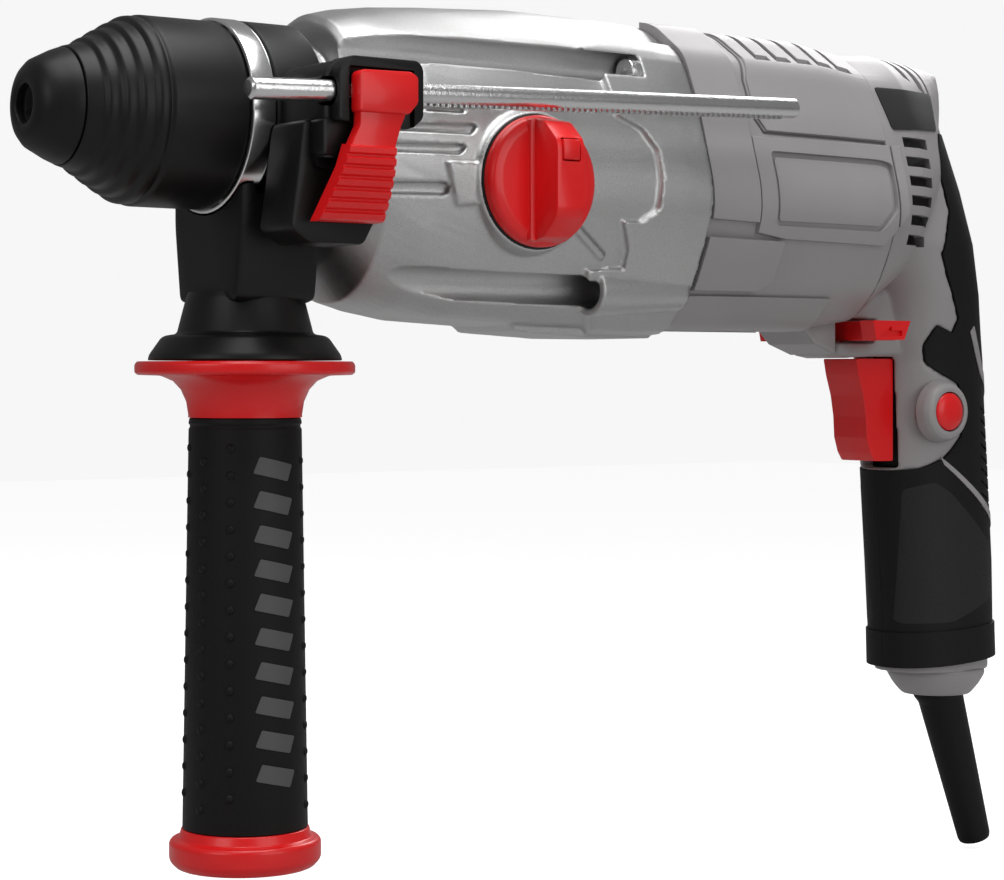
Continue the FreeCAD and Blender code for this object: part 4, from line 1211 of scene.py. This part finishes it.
def on_sleeve(shape, angle, height, sink):
    """A shape made round the origin with its front at +Z, put on the sleeve. Angle 0 faces left."""
    moved(shape, Matrix.Rotation(math.pi / 2, 3, "X"))
    moved(shape, place=(0, -sleeve_radius(height) + sink, 0))
    return moved(shape, Matrix.Rotation(math.radians(angle), 3, "Z"), (65, 0, height))


sleeve_parts = [turned([
    (SLEEVE_TOP, 12.05), (SLEEVE_TOP, 15.6, 0.3), (-85.6, 15.9, 0.2), (-86.1, 15.5), (-86.7, 15.5),
    (-87.2, 15.85, 0.2),
    (SLEEVE_FOOT, 17.6, 0.3), (SLEEVE_FOOT, 12.05)], "z", (65, 0, 0), 128)]
for column, angle in enumerate(DOT_COLUMNS):
    for row in range(14):
        height = -92.4 - row * 7.4 - (column % 2) * 3.7
        dot = bmesh.new()
        bmesh.ops.create_uvsphere(dot, u_segments=12, v_segments=6, radius=1.35)
        bmesh.ops.scale(dot, vec=(1, 1, 0.6), verts=dot.verts)
        sleeve_parts.append(on_sleeve(dot, angle, height, 0.1))
piece("grip_rubber_skin", joined(*sleeve_parts), BLACK_RUBBER, "side_grip", "black_rubber", "grip_rubber",
      sharp=50)

# %% [markdown]
# ### Bars on the sleeve
#
# Ten slanted bars stand on the front of the sleeve. Each is bent round the sleeve and trimmed by a
# slightly larger copy of it.

# %% Raised bars
bars = []
for index in range(10):
    height = -98 - index * 9.4
    bar = plate([(-6.2, -1.2), (4.4, -3.6), (6.2, 1.0), (-4.4, 3.4)], -3, 3, "xy", by=0.5)
    bmesh.ops.subdivide_edges(bar, edges=bar.edges, cuts=1)
    on_sleeve(bar, 0, height, 0)
    sleeve = turned([(height - 8, 15), (height - 8, sleeve_radius(height - 8) + 0.3),
                     (height + 8, sleeve_radius(height + 8) + 0.3), (height + 8, 15)], "z", (65, 0, 0), 96)
    bars.append(combined(bar, within(sleeve)))
piece("grip_bars", joined(*bars), BAR_RUBBER, "side_grip", "black_rubber", sharp=35)

# %% [markdown]
# ## The controls
#
# All controls are the same red plastic. The mode knob is a disc with a tall grip ridge, and it turns in a
# black seat. The trigger's front is rounded for the finger. The lock button is slightly domed so that it
# can be found by touch.

# %% Mode knob
KNOB = (137, 0, -17)
knob_disc = turned([(-45.4, 0), (-45.4, 15.6, 0.4), (-44.6, 17.9, 0.5), (-43.2, 18.8, 0.4), (-41.2, 18.8),
                    (-41.2, 8), (-33, 8), (-33, 0)], "y", KNOB, 128)
knob_ridge = moved(plate([(-43, -17.9), (-50.6, -16.4), (-56.2, -11.2), (-57, -8.6), (-57, 8.6),
                          (-56.2, 11.2), (-50.6, 16.4), (-43, 17.9)], -4.9, 4.9, "yz", by=0.8, rim=0.8),
                   place=KNOB)
knob_foot = moved(plate([(-43, -17.7), (-46.6, -17.2), (-46.6, 17.2), (-43, 17.7)], -6.6, 6.6, "yz", rim=1.4),
                  place=KNOB)
knob = combined(knob_disc, plus(knob_ridge), plus(knob_foot),
                plus(drum("y", -33.6, 7, 2, (137, -13), sides=24)),
                cut(block((133.7, -60, -12.3), (140.3, -50.5, -5.7), 0.6)))
soften(piece("mode_knob_skin", knob, RED_PLASTIC, "mode_selector", "red_plastic", "mode_knob", sharp=32), 0.3)
soften(piece("knob_button_skin", block((134.1, -57.4, -11.9), (139.9, -53, -6.1), 0.5), RED_PLASTIC,
             "selector_lock", "red_plastic", "knob_lock_button"), 0.15)
piece("knob_seat", turned([(-41, 17.0), (-41, 18.9, 0.3), (-40.4, 19.6, 0.3), (-37.5, 19.6), (-37.5, 17.0)],
                          "y", KNOB, 128),
      BLACK_PLASTIC, "housing", "black_plastic")

# %% [markdown]
# ### Trigger, lever and lock
#
# The trigger's face is a curve for the finger, so it is an outline extruded sideways with rounded front
# edges. The reverse lever is one bar with a tab at each end, and the lock button is a domed turned
# shape.

# %% Trigger
trigger = plate([(294.1, -66.6), (295.2, -72), (297.4, -79), (298.6, -86), (299.0, -93), (300.6, -98),
                 (302.6, -100.9), (311, -100.9), (311, -66.6)], -8, 8, by=0.5)
front_rims = [edge for edge in trigger.edges
              if all(vert.co.x < 304 for vert in edge.verts)
              and abs(edge.verts[0].co.y - edge.verts[1].co.y) < 1e-4]
rounded(trigger, front_rims, 3.2, 5)
piece("trigger_skin", trigger, RED_PLASTIC, "trigger", "red_plastic", "trigger", sharp=50)

# %% Reverse lever
tabs = []
for side in (-1, 1):
    reach = 26.6 if side > 0 else 29.2
    tab = plate([(281.2, -54.4), (298.0, -54.4), (295.2, -60.6), (282.6, -60.6)],
                22.9 if side > 0 else -reach, reach if side > 0 else -22.9)
    arrow = plate([(284.8, -59.4), (289.4, -56.0), (289.4, -57.6), (294.2, -57.6), (294.2, -59.4)],
                  reach - 1 if side > 0 else -34, 34 if side > 0 else 1 - reach)
    tabs.append(plus(combined(tab, cut(arrow))))
lever_bar = combined(block((287, -24, -60.7), (297, 24, -54.3), 0.4), *tabs,
                     plus(drum("z", -61.1, 7.2, 3, (292, 0))))
soften(piece("reverse_lever_skin", lever_bar, RED_PLASTIC, "reverse_lever", "red_plastic", "reverse_lever",
             sharp=35), 0.35)

# %% Lock button and its ring
LOCK = (323, 0, -84.3)
piece("lock_button_skin", turned([(-24.0, 0), (-23.9, 3), (-23.4, 5.2), (-22.6, 6.35, 0.4), (-13, 6.35),
                                  (-13, 0)], "y",
                                 LOCK, 64), RED_PLASTIC, "lock_button", "red_plastic", "lock_button",
      sharp=50)
piece("lock_ring_skin", turned([(-22.8, 6.7), (-22.9, 7.9, 0.3), (-22.2, 9.2, 0.5), (-20.4, 10.0, 0.4),
                                (-17.2, 10.4),
                                (-17.2, 6.7)], "y", LOCK, 96), GREY_PLASTIC, "housing", "grey_plastic",
      "lock_ring", sharp=50)

# %% [markdown]
# ## The cable entry
#
# A grey gland closes the foot of the grip, and a tapered rubber guard tilts in it so that the cable never
# bends sharply.

# %% Gland and guard
piece("cable_gland_skin", turned([
    (-172.7, 11), (-172.7, 16.6, 0.3), (-174.6, 16.7, 0.8), (-178.2, 14.6, 1.0), (-181.0, 12.2, 0.6),
    (-181.6, 11.4),
    (-181.6, 11)], "z", (339.5, 0, 0), 96), GREY_PLASTIC, "housing", "grey_plastic", "cable_gland", sharp=50)
guard = turned([(6, 3.6), (6, 6.4), (3, 8.9, 0.6), (-2, 8.9, 0.6), (-4.6, 7.8, 0.5), (-56.6, 5.7, 0.4),
                (-58, 5.3, 0.3), (-58, 3.6)], "z", steps=64)
piece("cable_guard_skin", moved(guard, Matrix.Rotation(math.radians(-18.4), 3, "Y"), (340.5, 0, -179)),
      BLACK_RUBBER, "cable_guard", "black_rubber", "cable_guard", sharp=50)
